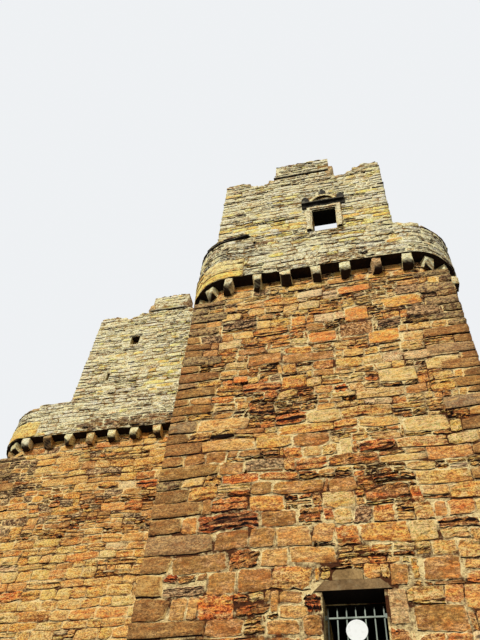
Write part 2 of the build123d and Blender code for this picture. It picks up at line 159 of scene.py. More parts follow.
# Share of each colour in a kind of walling.
WALLING = {
    "sound": {"block": 6, "fawn": 3, "tan": 1.5, "umber": 1, "orange": 0.5},
    "weathered": {"orange": 4, "tan": 4, "fawn": 4, "rust": 2.5, "ochre": 2, "block": 3, "red": 0.8,
                  "honey": 1},
    "deep": {"rust": 4, "red": 3, "orange": 3, "plum": 2, "umber": 2, "ochre": 1},
    "pale": {"honey": 3, "ochre": 4, "cream": 1, "tan": 3},
    "sunny": {"ochre": 3, "honey": 2, "orange": 4, "cream": 1, "tan": 5, "rust": 1.5, "fawn": 2},
    "quoin": {"block": 5, "umber": 5, "fawn": 0.5, "grey": 2},
    "dark": {"grey": 4, "soot": 5, "umber": 1},
    "upper": {"straw": 5, "cream": 6, "ash": 1, "honey": 2},
    "golden": {"ochre": 3, "honey": 5, "straw": 2, "orange": 1.2, "cream": 1.5},
    "yellow": {"ochre": 4, "honey": 3, "straw": 1.5, "orange": 0.6},
    "parapet": {"ash": 2, "straw": 5, "cream": 6},
    "lichen": {"olive": 4, "grey": 3, "ash": 4, "soot": 0.5},
    "brown band": {"umber": 3, "soot": 5, "grey": 1},
    "window stone": {"olive": 2, "ash": 2, "straw": 1},
    "corbel": {"cream": 5, "straw": 3, "fawn": 1.5, "block": 1.5, "grey": 0.8},
    "brown": {"block": 1},
    "fawn": {"fawn": 3, "block": 1},
    "tan": {"fawn": 3, "tan": 1},
    "orange": {"orange": 1},
    "rust layers": {"rust": 1, "umber": 3, "fawn": 1},
    "red layers": {"rust": 2, "red": 1, "ochre": 1},
    "umber layers": {"umber": 2, "plum": 1, "block": 1},
    "honey": {"honey": 2, "ochre": 1},
    "cream": {"cream": 1, "honey": 2},
    "red": {"orange": 2, "rust": 3, "red": 0.5},
    "olive": {"olive": 3, "fawn": 1},
    "grey slab": {"tan": 2, "ash": 1, "grey": 1},
}

# Kinds that the thick walls share.
LOWER = ("sound", "weathered", "deep", "pale", "dark")

# How worn each kind is and how much lichen it carries. The rest are sound and clean.
WORN = {"deep": 1.3, "umber layers": 1.3, "rust layers": 1.2, "red layers": 1.2, "weathered": 0.8,
        "brown band": 0.7, "dark": 0.6, "lichen": 0.6, "pale": 0.5, "sunny": 0.5, "upper": 0.5, "golden": 0.5,
        "yellow": 0.5, "parapet": 0.5, "orange": 0.5}
LICHEN = {"dark": 1.0, "upper": 0.4, "golden": 0.25, "parapet": 0.6, "lichen": 1.0, "grey slab": 0.4,
          "brown band": 0.3, "corbel": 0.25, "window stone": 0.7}
SOUND = 0.22
CLEAN = 0.1
TRIM_WEAR, BLOCK_WEAR = 0.4, 0.5

# Course lines low on the wing, with how far each corner stone reaches along the front.
COURSES = (5.84, 6.12, 6.5, 6.89, 7.23, 7.62, 7.96, 8.28, 8.58, 8.8, 9.09, 9.36)
CORNER_REACH = {
    5.84: 1.2, 6.12: 0.56, 6.5: 0.4, 6.89: 0.48, 7.23: 1.17, 7.62: 0.56, 7.96: 0.9, 8.28: 0.6, 8.8: 1.14,
}

# The stones that stand out on the wing's front: left, right, foot, head and kind.
# They are in metres from its left corner.
LANDMARKS = (
    (2.15, 2.66, 5.8, 6.05, "fawn"),
    (0.58, 0.87, 6.12, 6.5, "fawn"),
    (1.05, 1.62, 6.12, 6.5, "red layers"),
    (1.66, 2.2, 6.12, 6.3, "umber layers"),
    (2.34, 2.78, 6.06, 6.28, "tan"),
    (0.42, 1.13, 6.5, 6.7, "dark"),
    (1.16, 1.64, 6.5, 6.89, "brown"),
    (1.66, 2.22, 6.5, 6.89, "brown"),
    (0.5, 1.46, 6.89, 7.23, "brown"),
    (1.5, 2.0, 6.89, 7.23, "umber layers"),
    (2.02, 2.48, 6.89, 7.23, "tan"),
    (2.5, 3.25, 6.93, 7.23, "fawn"),
    (1.21, 1.79, 7.23, 7.62, "brown"),
    (1.81, 2.25, 7.23, 7.62, "brown"),
    (2.27, 2.86, 7.23, 7.62, "fawn"),
    (2.88, 3.25, 7.3, 7.68, "tan"),
    (0.86, 1.96, 7.62, 7.96, "umber layers"),
    (1.99, 2.63, 7.62, 7.96, "fawn"),
    (2.65, 3.06, 7.68, 7.98, "umber layers"),
    (1.08, 1.75, 7.96, 8.28, "rust layers"),
    (1.78, 2.41, 7.96, 8.28, "orange"),
    (2.18, 3.1, 8.28, 8.58, "fawn"),
    (1.63, 2.38, 8.86, 9.12, "dark"),
    (3.19, 4.11, 8.8, 9.09, "umber layers"),
    (2.72, 2.99, 6.16, 6.46, "umber layers"),
    (2.7, 2.99, 5.8, 6.14, "fawn"),
    (2.98, 3.14, 6.66, 6.82, "honey"),
    (3.97, 4.25, 5.94, 6.48, "grey slab"),
    (3.95, 4.24, 5.5, 5.9, "rust layers"),
    (4.3, 5.05, 5.82, 6.22, "brown"),
    (4.05, 4.33, 6.52, 6.88, "fawn"),
    (4.37, 4.5, 6.6, 6.97, "orange"),
    (4.53, 5.11, 6.56, 6.97, "brown"),
    (4.87, 5.53, 7.44, 7.64, "umber layers"),
    (3.8, 4.55, 8.05, 8.36, "rust layers"),
    (4.63, 5.45, 9.46, 9.84, "grey slab"),
    (3.43, 3.66, 9.06, 9.45, "honey"),
    (1.63, 2.17, 10.24, 10.59, "umber layers"),
    (2.3, 2.84, 10.94, 11.31, "orange"),
    (3.6, 4.37, 12.37, 12.86, "dark"),
    (4.45, 5.0, 12.52, 12.8, "dark"),
    (4.67, 5.55, 13.18, 13.56, "orange"),
    (1.26, 1.93, 12.18, 12.39, "brown"),
    (1.52, 2.28, 11.76, 12.12, "brown"),
    (2.32, 3.47, 11.7, 12.0, "brown"),
    (1.22, 1.56, 11.27, 11.49, "red"),
    (2.9, 3.55, 12.32, 12.68, "red"),
    (2.5, 2.86, 12.97, 13.35, "red"),
    (3.76, 4.3, 12.92, 13.4, "red"),
    (4.23, 4.91, 12.03, 12.44, "red"),
    (3.65, 4.44, 13.97, 14.25, "red"),
    (2.68, 3.28, 14.05, 14.35, "cream"),
    (3.36, 3.9, 14.28, 14.36, "cream"),
    (0.78, 1.25, 13.51, 13.8, "honey"),
    (0.8, 1.67, 13.14, 13.47, "dark"),
    (0.78, 1.3, 12.45, 12.74, "cream"),
    (5.3, 5.95, 11.01, 11.33, "honey"),
    (4.89, 6.0, 11.37, 11.63, "olive"),
    (4.32, 5.08, 10.8, 11.21, "honey"),
    (5.29, 5.77, 10.39, 10.69, "orange"),
    (4.98, 5.78, 13.62, 13.96, "dark"),
    (5.17, 5.87, 12.75, 13.1, "dark"),
)


def linear(colour):
    """An sRGB colour of 0 to 255 as linear light."""
    c = np.asarray(colour, float) / 255
    return np.where(c <= 0.04045, c / 12.92, ((c + 0.055) / 1.055) ** 2.4)


def add(name, data):
    """A new object in the scene."""
    new = bpy.data.objects.new(name, data)
    bpy.context.collection.objects.link(new)
    return new


def camera():
    """The photo's viewpoint."""
    data = bpy.data.cameras.new("eye")
    data.lens = LENS_MM
    data.sensor_width = SENSOR_MM
    data.clip_end = 500
    eye = add("eye", data)
    turn = Matrix.Rotation(YAW, 4, "Z") @ Matrix.Rotation(math.pi / 2 + PITCH, 4, "X")
    eye.matrix_world = Matrix.Translation(EYE) @ turn @ Matrix.Rotation(ROLL, 4, "Z")
    bpy.context.scene.camera = eye


def lamp(name, energy, softness, direction):
    """A far lamp that shines one way."""
    data = bpy.data.lights.new(name, "SUN")
    data.energy = energy
    data.angle = math.radians(softness)
    add(name, data).rotation_euler = Vector(direction).to_track_quat("-Z", "Y").to_euler()


def light():
    """A key from the front, two weak fills behind and a pale sky."""
    lamp("key", KEY, 3, (0.2, 0.84, -0.47))
    lamp("right fill", FILL, 20, (-0.7, -0.6, -0.5))
    lamp("left fill", FILL, 20, (0.85, -0.4, -0.45))
    world = bpy.data.worlds.new("pale")
    world.use_nodes = True
    tree = world.node_tree
    sky = tree.nodes["Background"]
    sky.inputs["Color"].default_value = SKY_LIGHT
    sky.inputs["Strength"].default_value = SKY
    seen = tree.nodes.new("ShaderNodeBackground")
    seen.inputs["Color"].default_value = SKY_SEEN
    path = tree.nodes.new("ShaderNodeLightPath")
    mix = tree.nodes.new("ShaderNodeMixShader")
    tree.links.new(path.outputs["Is Camera Ray"], mix.inputs["Fac"])
    tree.links.new(sky.outputs["Background"], mix.inputs[1])
    tree.links.new(seen.outputs["Background"], mix.inputs[2])
    tree.links.new(mix.outputs["Shader"], tree.nodes["World Output"].inputs["Surface"])
    bpy.context.scene.world = world
    bpy.context.scene.view_settings.view_transform = "Standard"


class Shader:
    """A small builder for one material's node tree."""

    def __init__(self, name, rough=0.92):
        self.material = bpy.data.materials.new(name)
        self.material.use_nodes = True
        self.tree = self.material.node_tree
        self.surface = self.tree.nodes["Principled BSDF"]
        self.surface.inputs["Roughness"].default_value = rough
        self.surface.inputs["Specular IOR Level"].default_value = 0.25
        self.place = self.node("TexCoord").outputs["Object"]

    def node(self, kind):
        return self.tree.nodes.new(f"ShaderNode{kind}")

    def link(self, a, b):
        self.tree.links.new(a, b)

    def feed(self, value, socket):
        """A number, an sRGB colour or another node's output, given to a socket."""
        if isinstance(value, tuple):
            socket.default_value = (*linear(value), 1)
        elif isinstance(value, (int, float)):
            socket.default_value = value
        else:
            self.link(value, socket)

    def noise(self, scale, stretch=(1, 1, 1), detail=5, rough=0.6):
        """Noise in metres, stretched along the axes."""
        mapping = self.node("Mapping")
        mapping.inputs["Scale"].default_value = stretch
        self.link(self.place, mapping.inputs["Vector"])
        node = self.node("TexNoise")
        self.feed(scale, node.inputs["Scale"])
        self.feed(detail, node.inputs["Detail"])
        self.feed(rough, node.inputs["Roughness"])
        self.link(mapping.outputs["Vector"], node.inputs["Vector"])
        return node.outputs["Fac"]

    def ramp(self, value, low, high, start=0.0, end=1.0):
        """A value carried from one range to another and held at its ends."""
        node = self.node("MapRange")
        for given, socket in zip((value, low, high, start, end), node.inputs):
            self.feed(given, socket)
        return node.outputs["Result"]

    def maths(self, kind, a, b):
        node = self.node("Math")
        node.operation = kind
        self.feed(a, node.inputs[0])
        self.feed(b, node.inputs[1])
        return node.outputs["Value"]

    def times(self, a, b):
        return self.maths("MULTIPLY", a, b)

    def blend(self, kind, amount, a, b):
        """Two colours mixed by an amount."""
        node = self.node("Mix")
        node.data_type = "RGBA"
        node.clamp_result = True
        node.blend_type = kind
        for value, socket in zip((amount, a, b), (0, 6, 7)):
            self.feed(value, node.inputs[socket])
        return node.outputs[2]

    def attribute(self, name):
        node = self.node("Attribute")
        node.attribute_name = name
        return node

    def bump(self, height, depth):
        node = self.node("Bump")
        node.inputs["Strength"].default_value = 1.0
        node.inputs["Distance"].default_value = depth
        self.link(height, node.inputs["Height"])
        self.link(node.outputs["Normal"], self.surface.inputs["Normal"])

    def painted_underside_shade(self, colour):
        """Painted shade that darkens the faces that look down, such as the undersides of corbels and of the
        parapet.
        """
        geometry = self.node("NewGeometry")
        parts = self.node("SeparateXYZ")
        self.link(geometry.outputs["True Normal"], parts.inputs["Vector"])
        return self.blend("MULTIPLY", self.ramp(parts.outputs["Z"], -0.3, -0.75), colour, UNDERSIDE_SHADE)

    def finish(self, colour):
        self.link(colour, self.surface.inputs["Base Color"])
        return self.material


def masonry(name, growth, stain, stain_amount, highlight, mortar, pit, crack, layers=5):
    """Coursed stone: its own colour, bedding lines, stains, pits, flecks, lichen and smeared mortar, and
    painted shade on faces that look down.
    """
    s = Shader(name)
    tone = s.attribute("tone")
    worn = tone.outputs["Alpha"]
    edge = s.node("SeparateColor")
    s.link(s.attribute("edge").outputs["Color"], edge.inputs["Color"])
    rim, lichen = edge.outputs["Red"], edge.outputs["Green"]
    wander = s.noise(2.4, (1, 1, 2.0), detail=6, rough=0.62)
    shades = s.noise(3.4, (1, 1, 2.2), detail=6, rough=0.66)
    patches = s.noise(6.5, (1, 1, 1.6), detail=4)
    bedding = s.noise(2.6, (1, 1, layers), detail=9, rough=0.75)
    fine = s.noise(19, (1, 1, 1.5), detail=7, rough=0.82)
    grit = s.noise(34, (1, 1, 1.3), detail=4, rough=0.85)
    speck = s.noise(13, (1, 1, 1.5), detail=6, rough=0.8)
    grain = s.ramp(worn, 0.25, 0.6, 0.55, 1)
    lines = s.times(s.ramp(bedding, 0.46, 0.39), s.ramp(worn, 0, 1, 0.3, 1.0))
    split_at = s.maths("ABSOLUTE", s.maths("SUBTRACT", bedding, 0.52), 0)
    splits = s.times(s.ramp(split_at, 0.022, 0.01, 0, 0.95), s.ramp(patches, 0.44, 0.56, 0.2, 1.0))
    bare = s.times(s.ramp(lichen, 0.3, 0.9, 1, 0), s.ramp(worn, 0.25, 0.6, 0.3, 1))
    colour = tone.outputs["Color"]
    for kind, amount, other in (
        ("MIX", s.times(s.ramp(wander, 0.5, 0.58, 0, stain_amount), bare), stain),
        ("MULTIPLY", s.ramp(shades, 0.46, 0.39, 0, 0.55), SHADE),
        ("MIX", s.ramp(shades, 0.56, 0.64, 0, 0.3), growth),
        ("MIX", s.ramp(patches, 0.5, 0.66, 0, 0.45), highlight),
        ("MULTIPLY", s.ramp(patches, 0.46, 0.34, 0, 0.5), WARM_SHADE),
        ("MULTIPLY", s.ramp(bedding, 0.53, 0.64, 0, 0.7), SHINE),
        ("MULTIPLY", s.times(s.ramp(fine, 0.49, 0.44, 0, 0.9), grain), pit),
        ("MULTIPLY", s.times(s.ramp(fine, 0.51, 0.56), grain), SHINE),
        ("MULTIPLY", lines, crack),
        ("MULTIPLY", splits, crack),
        ("MULTIPLY", s.times(s.ramp(grit, 0.46, 0.41, 0, 0.9), grain), pit),
        ("MULTIPLY", s.times(s.ramp(grit, 0.51, 0.56), grain), SHINE),
        ("MULTIPLY", s.times(s.ramp(speck, 0.49, 0.42, 0, 0.9), lichen), DARK_SPECK),
        ("MIX", s.times(s.ramp(speck, 0.52, 0.6, 0, 0.85), lichen), growth),
        ("DARKEN", 1.0, highlight),
        ("MIX", smeared(s, rim), mortar),
    ):
        colour = s.blend(kind, amount, colour, other)
    s.bump(s.maths("ADD", s.times(bedding, 0.6), s.times(fine, 0.4)), 0.045)
    return s.finish(s.painted_underside_shade(colour))


def pointed(s):
    """Where the joints are filled with mortar, and not open and dark."""
    return s.ramp(s.noise(1.5, detail=8, rough=0.72), 0.46, 0.56)


def smeared(s, rim):
    """Ragged patches of mortar over the edges of stones."""
    ragged = s.maths("ADD", rim, s.noise(11, (1, 1, 1.3), detail=6, rough=0.75))
    return s.times(s.ramp(ragged, 1.13, 1.24), pointed(s))


def bed_material(name, mortar, dark_tone):
    """The rough pale mortar between the stones, the dark open joints where it has gone, and painted shade on
    faces that look down.
    """
    s = Shader(name)
    grit = s.noise(22, (1, 1, 1.8), detail=6, rough=0.8)
    colour = s.blend("MIX", pointed(s), dark_tone, mortar)
    colour = s.blend("MULTIPLY", s.ramp(grit, 0.5, 0.4, 0, 0.8), colour, (140, 90, 42))
    s.bump(grit, 0.03)
    return s.finish(s.painted_underside_shade(colour))


def trim_material(name, light_tone, dark_tone, growth, amount):
    """Dressed stone with soft blotches, dark weathering, lichen, and painted shade on faces that look down.
    """
    s = Shader(name)
    blotch = s.noise(2.4, detail=7, rough=0.65)
    grain = s.noise(26, detail=7, rough=0.75)
    spots = s.noise(7.5, detail=8, rough=0.7)
    colour = s.blend("MIX", s.ramp(blotch, 0.36, 0.64), light_tone, dark_tone)
    colour = s.blend("MULTIPLY", s.ramp(grain, 0.55, 0.32, 0, 0.6), colour, (96, 82, 64))
    colour = s.blend("MIX", s.ramp(spots, 0.54, 0.66, 0, amount), colour, growth)
    s.bump(grain, 0.02)
    return s.finish(s.painted_underside_shade(colour))


def iron_material():
    """Old grey green paint on iron, rusting in spots."""
    s = Shader("gate iron", 0.62)
    s.surface.inputs["Metallic"].default_value = 0.25
    runs = s.noise(5, (1, 1, 0.5), detail=6)
    spots = s.noise(42, detail=5)
    colour = s.blend("MIX", s.ramp(runs, 0.35, 0.7), (150, 158, 142), (104, 112, 100))
    colour = s.blend("MIX", s.ramp(spots, 0.6, 0.7, 0, 0.7), colour, (98, 66, 44))
    s.bump(spots, 0.002)
    return s.finish(colour)


def disc_material():
    """White paint, slightly chalked and marked."""
    s = Shader("disc white", 0.5)
    marks = s.noise(18, detail=6)
    colour = s.blend("MIX", s.ramp(marks, 0.5, 0.72, 0, 0.35), (238, 238, 230), (200, 198, 186))
    return s.finish(colour)


class Line:
    """A line on plan that courses follow: distances, places and outward normals."""

    def __init__(self, points):
        self.p = np.array(points, float)
        step = np.diff(self.p, axis=0)
        span = np.hypot(step[:, 0], step[:, 1])
        self.u = np.concatenate([[0], np.cumsum(span)])
        way = step / span[:, None]
        self.n = np.stack([way[:, 1], -way[:, 0]], 1)
        self.length = self.u[-1]
        turn = (self.n[1:] * self.n[:-1]).sum(1)
        self.sharp = [(self.u[i + 1], i) for i in np.flatnonzero(turn < 0.7)]

    def at(self, u, out):
        """Places a distance along the line and out from it."""
        k = np.clip(np.searchsorted(self.u, u, side="right") - 1, 0, len(self.n) - 1)
        x = np.interp(u, self.u, self.p[:, 0])
        y = np.interp(u, self.u, self.p[:, 1])
        normal = self.n[k]
        for where, i in self.sharp:
            mitre = (self.n[i] + self.n[i + 1]) / (1 + self.n[i] @ self.n[i + 1])
            normal = np.where((np.abs(u - where) < 1e-6)[..., None], mitre, normal)
        return np.stack([x, y], -1) + normal * out[..., None]


def arc(x, y, radius, start, sweep):
    """Points round a quarter turn, without its ends."""
    turns = np.radians(start + sweep * np.arange(1, ARC_STEPS) / ARC_STEPS)
    return [(x + radius * math.cos(t), y + radius * math.sin(t)) for t in turns]


def pairs(places):
    """Each place with the next one."""
    return zip(places[:-1], places[1:])


def shares(parts, length):
    """Places that cut a length in the ratio of the parts."""
    return np.concatenate([[0], np.cumsum(parts)]) * length / parts.sum()


def levels(low, high, course, seed):
    """Heights of the course lines between two levels."""
    dice = np.random.default_rng(seed)
    count = max(1, round((high - low) / (sum(course) / 2)))
    return low + shares(dice.uniform(course[0], course[1], count), high - low)


def split(length, low, high):
    """A run cut into stones of random lengths, none much shorter than the least."""
    count = max(1, round(length / rng.uniform(low, high)))
    return shares(rng.uniform(*UNEVEN, count), length)


def rows_of(low, high, busy):
    """Course lines inside one group of stones: one, two or three rows."""
    count = 1
    if rng.random() < busy:
        count = 2 if high - low < THIN_GROUP or rng.random() < 0.6 else 3
    return low + shares(rng.uniform(*UNEVEN, count), high - low)


def lay(length, lines, busy, ends=(0, 0), stretch=(1.5, 3.2)):
    """Stones of one side, band by band, as rows of u0, u1, v0, v1."""
    stones = []
    busy, first, last = (np.broadcast_to(each, len(lines) - 1) for each in (busy, *ends))
    for k, (low, high) in enumerate(pairs(lines)):
        for a, b in pairs(first[k] + split(length - last[k] - first[k], *GROUP)):
            for v0, v1 in pairs(rows_of(low, high, busy[k])):
                short, long = (max(least, (v1 - v0) * by) for least, by in zip(LEAST, stretch))
                cut = a + split(b - a, short, long)
                stones += [(u0, u1, v0, v1) for u0, u1 in pairs(cut)]
    return stones


def carve(stones, holes, least=LEAST_LEFT):
    """Stones with the parts inside rectangular holes cut away."""
    for a, b, low, high in holes:
        kept = []
        for u0, u1, v0, v1 in stones:
            if u1 <= a or u0 >= b or v1 <= low or v0 >= high:
                kept.append((u0, u1, v0, v1))
                continue
            kept.append((u0, a, v0, v1))
            kept.append((b, u1, v0, v1))
            kept.append((max(u0, a), min(u1, b), v0, low))
            kept.append((max(u0, a), min(u1, b), high, v1))
        stones = [s for s in kept if s[1] - s[0] > least and s[3] - s[2] > least]
    return stones


def heads_over(top, u0, u1):
    """Heights of a broken head at four places over a stone."""
    return [top(u) for u in np.linspace(u0 + 0.02, u1 - 0.02, 4)]


def under(stones, top):
    """Stones cut off at a broken head, whose height is known along the line."""
    kept = []
    for u0, u1, v0, v1 in stones:
        head = min(v1, *heads_over(top, u0, u1))
        if head - v0 > LEAST_LEFT:
            kept.append((u0, u1, v0, head))
    return kept


def wave(x, y, z):
    """How far the courses rise and fall."""
    slow = np.sin(0.9 * x + 0.7 * y + 0.45 * z) + 0.6 * np.sin(2.3 * x - 1.9 * y + 1.1 * z)
    return WAVE * (slow + 0.35 * np.sin(5.1 * x + 4.3 * y - 2.2 * z)) / 1.6


def calm(u, v, holes):
    """Less wave near an opening, so that its edges stay straight."""
    still = np.ones_like(u)
    for a, b, low, high in holes:
        gap_u = np.maximum(np.maximum(a - u, u - b), 0)
        gap_v = np.maximum(np.maximum(low - v, v - high), 0)
        still = np.minimum(still, np.clip(np.hypot(gap_u, gap_v) / STILL_REACH, 0, 1))
    return still


def grid_places(size, count, first, last):
    """Grid lines across stones of the given sizes, close to both edges and even between."""
    share = np.linspace(0, 1, count - 2)
    inner = first[:, None] + (size - first - last)[:, None] * share
    return np.concatenate([np.zeros((len(size), 1)), inner, size[:, None]], 1)


def quads(first, cols, rows, height):
    """Faces over the named columns and rows of grids that start at the given places."""
    at = np.array(cols)[:, None] * height + np.array(rows)
    one = np.stack([at[:-1, :-1], at[1:, :-1], at[1:, 1:], at[:-1, 1:]], -1).reshape(-1, 4)
    return (first[:, None, None] + one).reshape(-1, 4)


def out_of_sight(x, y, z):
    """Whether the photo misses a stone: low down, or on the left, rear and right sides."""
    low = z < np.where(x < X0 - 0.5, LOW_MAIN, LOW_WING)
    right = (x > X1 - 0.5) & (y > Y0 + 1.5)
    wing_left = (x < X0 + 0.01) & (x > X0 - 0.5) & (y > Y0 + 1.5) & (y < YM - 0.3)
    return low | right | wing_left | (y > UM + 0.8)


def stone_quads(far, line, cols, rows):
    """Faces of all stones, with fewer grid lines where the photo doesn't look."""
    first = np.arange(len(far)) * cols * rows
    few_cols = (0, 1, cols - 2, cols - 1) if len(line.p) == 2 else range(cols)
    few_rows = sorted({0, 1, rows // 2, rows - 2, rows - 1})
    near = quads(first[~far], range(cols), range(rows), rows)
    return np.concatenate([near, quads(first[far], few_cols, few_rows, rows)])


def paint(mesh, name, values):
    """A colour kept at each corner of a mesh."""
    colour = mesh.color_attributes.new(name, "FLOAT_COLOR", "POINT")
    colour.data.foreach_set("color", values.astype(np.float32).ravel())


def mesh_object(name, places, faces, tone, material, edge=None):
    """A piece of the model that keeps each corner's own colour."""
    mesh = bpy.data.meshes.new(name)
    mesh.vertices.add(len(places))
    mesh.vertices.foreach_set("co", places.astype(np.float32).ravel())
    mesh.loops.add(faces.size)
    mesh.loops.foreach_set("vertex_index", faces.astype(np.int32).ravel())
    mesh.polygons.add(len(faces))
    mesh.polygons.foreach_set("loop_start", np.arange(0, faces.size, faces.shape[1], dtype=np.int32))
    mesh.update(calc_edges=True)
    paint(mesh, "tone", tone)
    if edge is not None:
        paint(mesh, "edge", edge)
    mesh.materials.append(material)
    piece = add(name, mesh)
    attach(piece, "root")


def pick(kinds):
    """A colour for each stone out of its kind of walling, slightly varied."""
    colours = np.zeros((len(kinds), 3))
    for i, kind in enumerate(kinds):
        weight = np.array(list(WALLING[kind].values()))
        weight = weight / weight.sum()
        tones = np.array([linear(STONE[name]) for name in WALLING[kind]])
        spread = rng.uniform(0.35, 0.9)
        colours[i] = spread * tones[rng.choice(len(tones), p=weight)] + (1 - spread) * (weight @ tones)
    return colours * rng.uniform(0.92, 1.32, (len(kinds), 1)) * rng.uniform(0.96, 1.04, (len(kinds), 3))


def stone_grids(line, stones, grid, worn):
    """Lines along and up each stone, skewed and uneven, and the same as shares of its size."""
    u0, u1, v0, v1 = np.array(stones, float).T
    n = len(u0)
    cols, rows = grid
    gap = rng.uniform(0.1, 1.7, (4, n))
    u0, u1 = u0 + gap[0] * JOINT / 2, u1 - gap[1] * JOINT / 2
    v0, v1 = v0 + gap[2] * BED / 2, v1 - gap[3] * BED / 2
    wide, tall = u1 - u0, v1 - v0
    arris = np.minimum(ARRIS_WIDE, wide * 0.2)
    s = grid_places(wide, cols, arris, arris)
    t = grid_places(tall, rows, np.minimum(ARRIS_TALL, tall * 0.12), np.minimum(ARRIS_TALL, tall * 0.15))
    t[:, 2:-2] += rng.uniform(-0.3, 0.3, t[:, 2:-2].shape) * (tall / rows)[:, None]
    U = np.repeat((u0[:, None] + s)[:, :, None], rows, 2)
    V = np.repeat((v0[:, None] + t)[:, None, :], cols, 1)
    S = (U - u0[:, None, None]) / wide[:, None, None]
    T = (V - v0[:, None, None]) / tall[:, None, None]
    round_off = np.minimum(0.03, tall * 0.13)[:, None, None] * rng.uniform(0.2, 1.6, (n, 1, 1))
    V += round_off * np.abs(2 * S - 1) ** 7 * (1 - 2 * T)
    skew = rng.normal(0, SKEW, (4, n, 1, 1))
    V += skew[0] * S * (1 - T) + skew[1] * (1 - S) * T + skew[2] * (1 - S) * (1 - T)
    U += skew[3] * (2 * T - 1)
    U += rng.normal(0, UNEVEN_ALONG, U.shape) * (0.35 + worn)
    V += rng.normal(0, UNEVEN_FACE, V.shape) * (0.35 + worn)
    V += rng.normal(0, UNEVEN_FACE, (n, cols, 1)) * (0.6 + 2 * worn) * np.abs(2 * T - 1)
    for where, _ in line.sharp:
        for i in np.flatnonzero((u0 < where - 0.02) & (u1 > where + 0.02)):
            j = 1 + np.argmin(np.abs(U[i, 1:-1, 0] - where))
            U[i, j] = where
    return U, V, S, T


def relief(S, T, proud, worn):
    """How far each stone stands out, bulging and sunk at its border, and the layers that it wears into."""
    n, cols, rows = S.shape
    base = (rng.uniform(*proud, n) + worn.ravel() * rng.uniform(0, 0.016, n))[:, None, None]
    dome = 1 - BULGE * (2 * S - 1) ** 4 - BULGE * (2 * T - 1) ** 4
    ledge = rng.normal(0, 1, (n, 1, rows)) * (0.6 + 0.4 * rng.random((n, cols, 1)))
    D = base * dome + ledge * LAYER * worn + rng.normal(0, UNEVEN_FACE, S.shape) * (0.35 + worn)
    D = np.maximum(D, 0.002)
    D[:, [0, -1]] = BORDER
    D[:, :, [0, -1]] = BORDER
    return D, ledge


def stone_tones(kinds, worn, ledge, dark):
    """Each stone's own colour with painted shade in its sunk layers, at its two ends and along its underside,
    and its wear.
    """
    # Painted shade: darker where the layers are sunk, at both ends and in the two bottom rows.
    sunk = np.clip(0.5 + ledge * 0.4 * worn, 0, 1.1)
    shade = 0.72 + 0.6 * sunk + rng.normal(0, 0.11, ledge.shape)
    shade[:, [0, -1]] *= 0.9
    shade[:, :, 0] *= dark
    shade[:, :, 1] *= (1 + dark) / 1.7
    tone = np.empty((*ledge.shape, 4))
    tone[..., :3] = pick(kinds)[:, None, None, :] * np.clip(shade, 0.05, 2)[..., None] ** DEEPEN
    tone[..., 3] = worn
    return tone.reshape(-1, 4)


def stone_edges(kinds, far, grid):
    """Room for mortar smears round each stone's rim, and the lichen that it carries."""
    edge = np.zeros((len(kinds), *grid, 4))
    edge[..., 0] = 1
    edge[:, 1:-1, 1:-1, 0] = RIM_NEAR
    edge[:, 2:-2, 2:-2, 0] = 0
    edge[far, 1:-1, 1:-1, 0] = RIM_FAR
    edge[..., 1] = np.array([LICHEN.get(k, CLEAN) for k in kinds])[:, None, None]
    return edge.reshape(-1, 4)


# dark is the painted shade on each stone's bottom row; the row above gets part of it.
def stone_faces(name, line, stones, kind_of, material, grid, proud=PROUD, holes=(), dark=0.35):
    """Many stones on one line: uneven faces with soft arrises, painted shade along their undersides and worn
    beds.
    """
    u0, u1, v0, v1 = np.array(stones, float).T
    x, y = line.at((u0 + u1) / 2, np.zeros(len(u0))).T
    z = (v0 + v1) / 2
    kinds, worn = kind_of(x, y, z)
    worn = worn[:, None, None]
    far = out_of_sight(x, y, z)
    U, V, S, T = stone_grids(line, stones, grid, worn)
    D, ledge = relief(S, T, proud, worn)
    xy = line.at(U, D)
    Z = np.maximum(V + wave(xy[..., 0], xy[..., 1], V) * calm(U, V, holes), 0)
    places = np.concatenate([xy, Z[..., None]], -1).reshape(-1, 3)
    tone = stone_tones(kinds, worn, ledge, dark)
    edge = stone_edges(kinds, far, grid)
    used, faces = np.unique(stone_quads(far, line, *grid), return_inverse=True)
    mesh_object(name, places[used], faces.reshape(-1, 4), tone[used], material, edge[used])


def clusters(points, reach=1.3):
    """Rectangles round groups of points that lie within reach of each other."""
    groups = []
    for point in points:
        near = [g for g in groups if any(math.dist(point, q) < reach for q in g)]
        merged = [point] + [q for g in near for q in g]
        groups = [g for g in groups if g not in near] + [merged]
    sides = [list(zip(*group)) for group in groups]
    return [(min(u), max(u), min(v), max(v)) for u, v in sides]


def holes_in(side, line, top):
    """Openings through one upper wall, found from the corners inside one of its faces."""
    name = f"upper_{side}"
    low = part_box(name)[0].z
    start = line.p[0]
    way = (line.p[1] - start) / line.length
    found = set()
    for vertex in nodes[name].data.vertices:
        place = np.array(vertex.co[:2]) - start
        u = float(place @ way)
        v = vertex.co.z
        inside = CLEAR < u < line.length - CLEAR and low + CLEAR < v < top(u) - HEAD_CLEAR
        if inside and abs(place @ line.n[0]) < 0.002:
            found.add((round(u, 3), round(v, 3)))
    return clusters(sorted(found))


def solid_tree():
    """All CAD solids as one tree for rays."""
    places, faces = [], []
    for node in nodes.values():
        first = len(places)
        places += [v.co.copy() for v in node.data.vertices]
        faces += [[first + i for i in p.vertices] for p in node.data.polygons]
    return BVHTree.FromPolygons(places, faces)


def skyline(line, inward=HEAD_INSET):
    """Height of the CAD's head a little inside a line, as a function of the distance along it."""
    u = np.linspace(0.01, line.length - 0.01, max(2, int(line.length / HEAD_STEP)))
    xy = line.at(u, np.full(len(u), -inward))
    heights = []
    for x, y in xy:
        hit = solids.ray_cast(Vector((x, y, 60)), Vector((0, 0, -1)))[0]
        heights.append(hit.z if hit else 0)
    return lambda where: float(np.interp(where, u, heights))


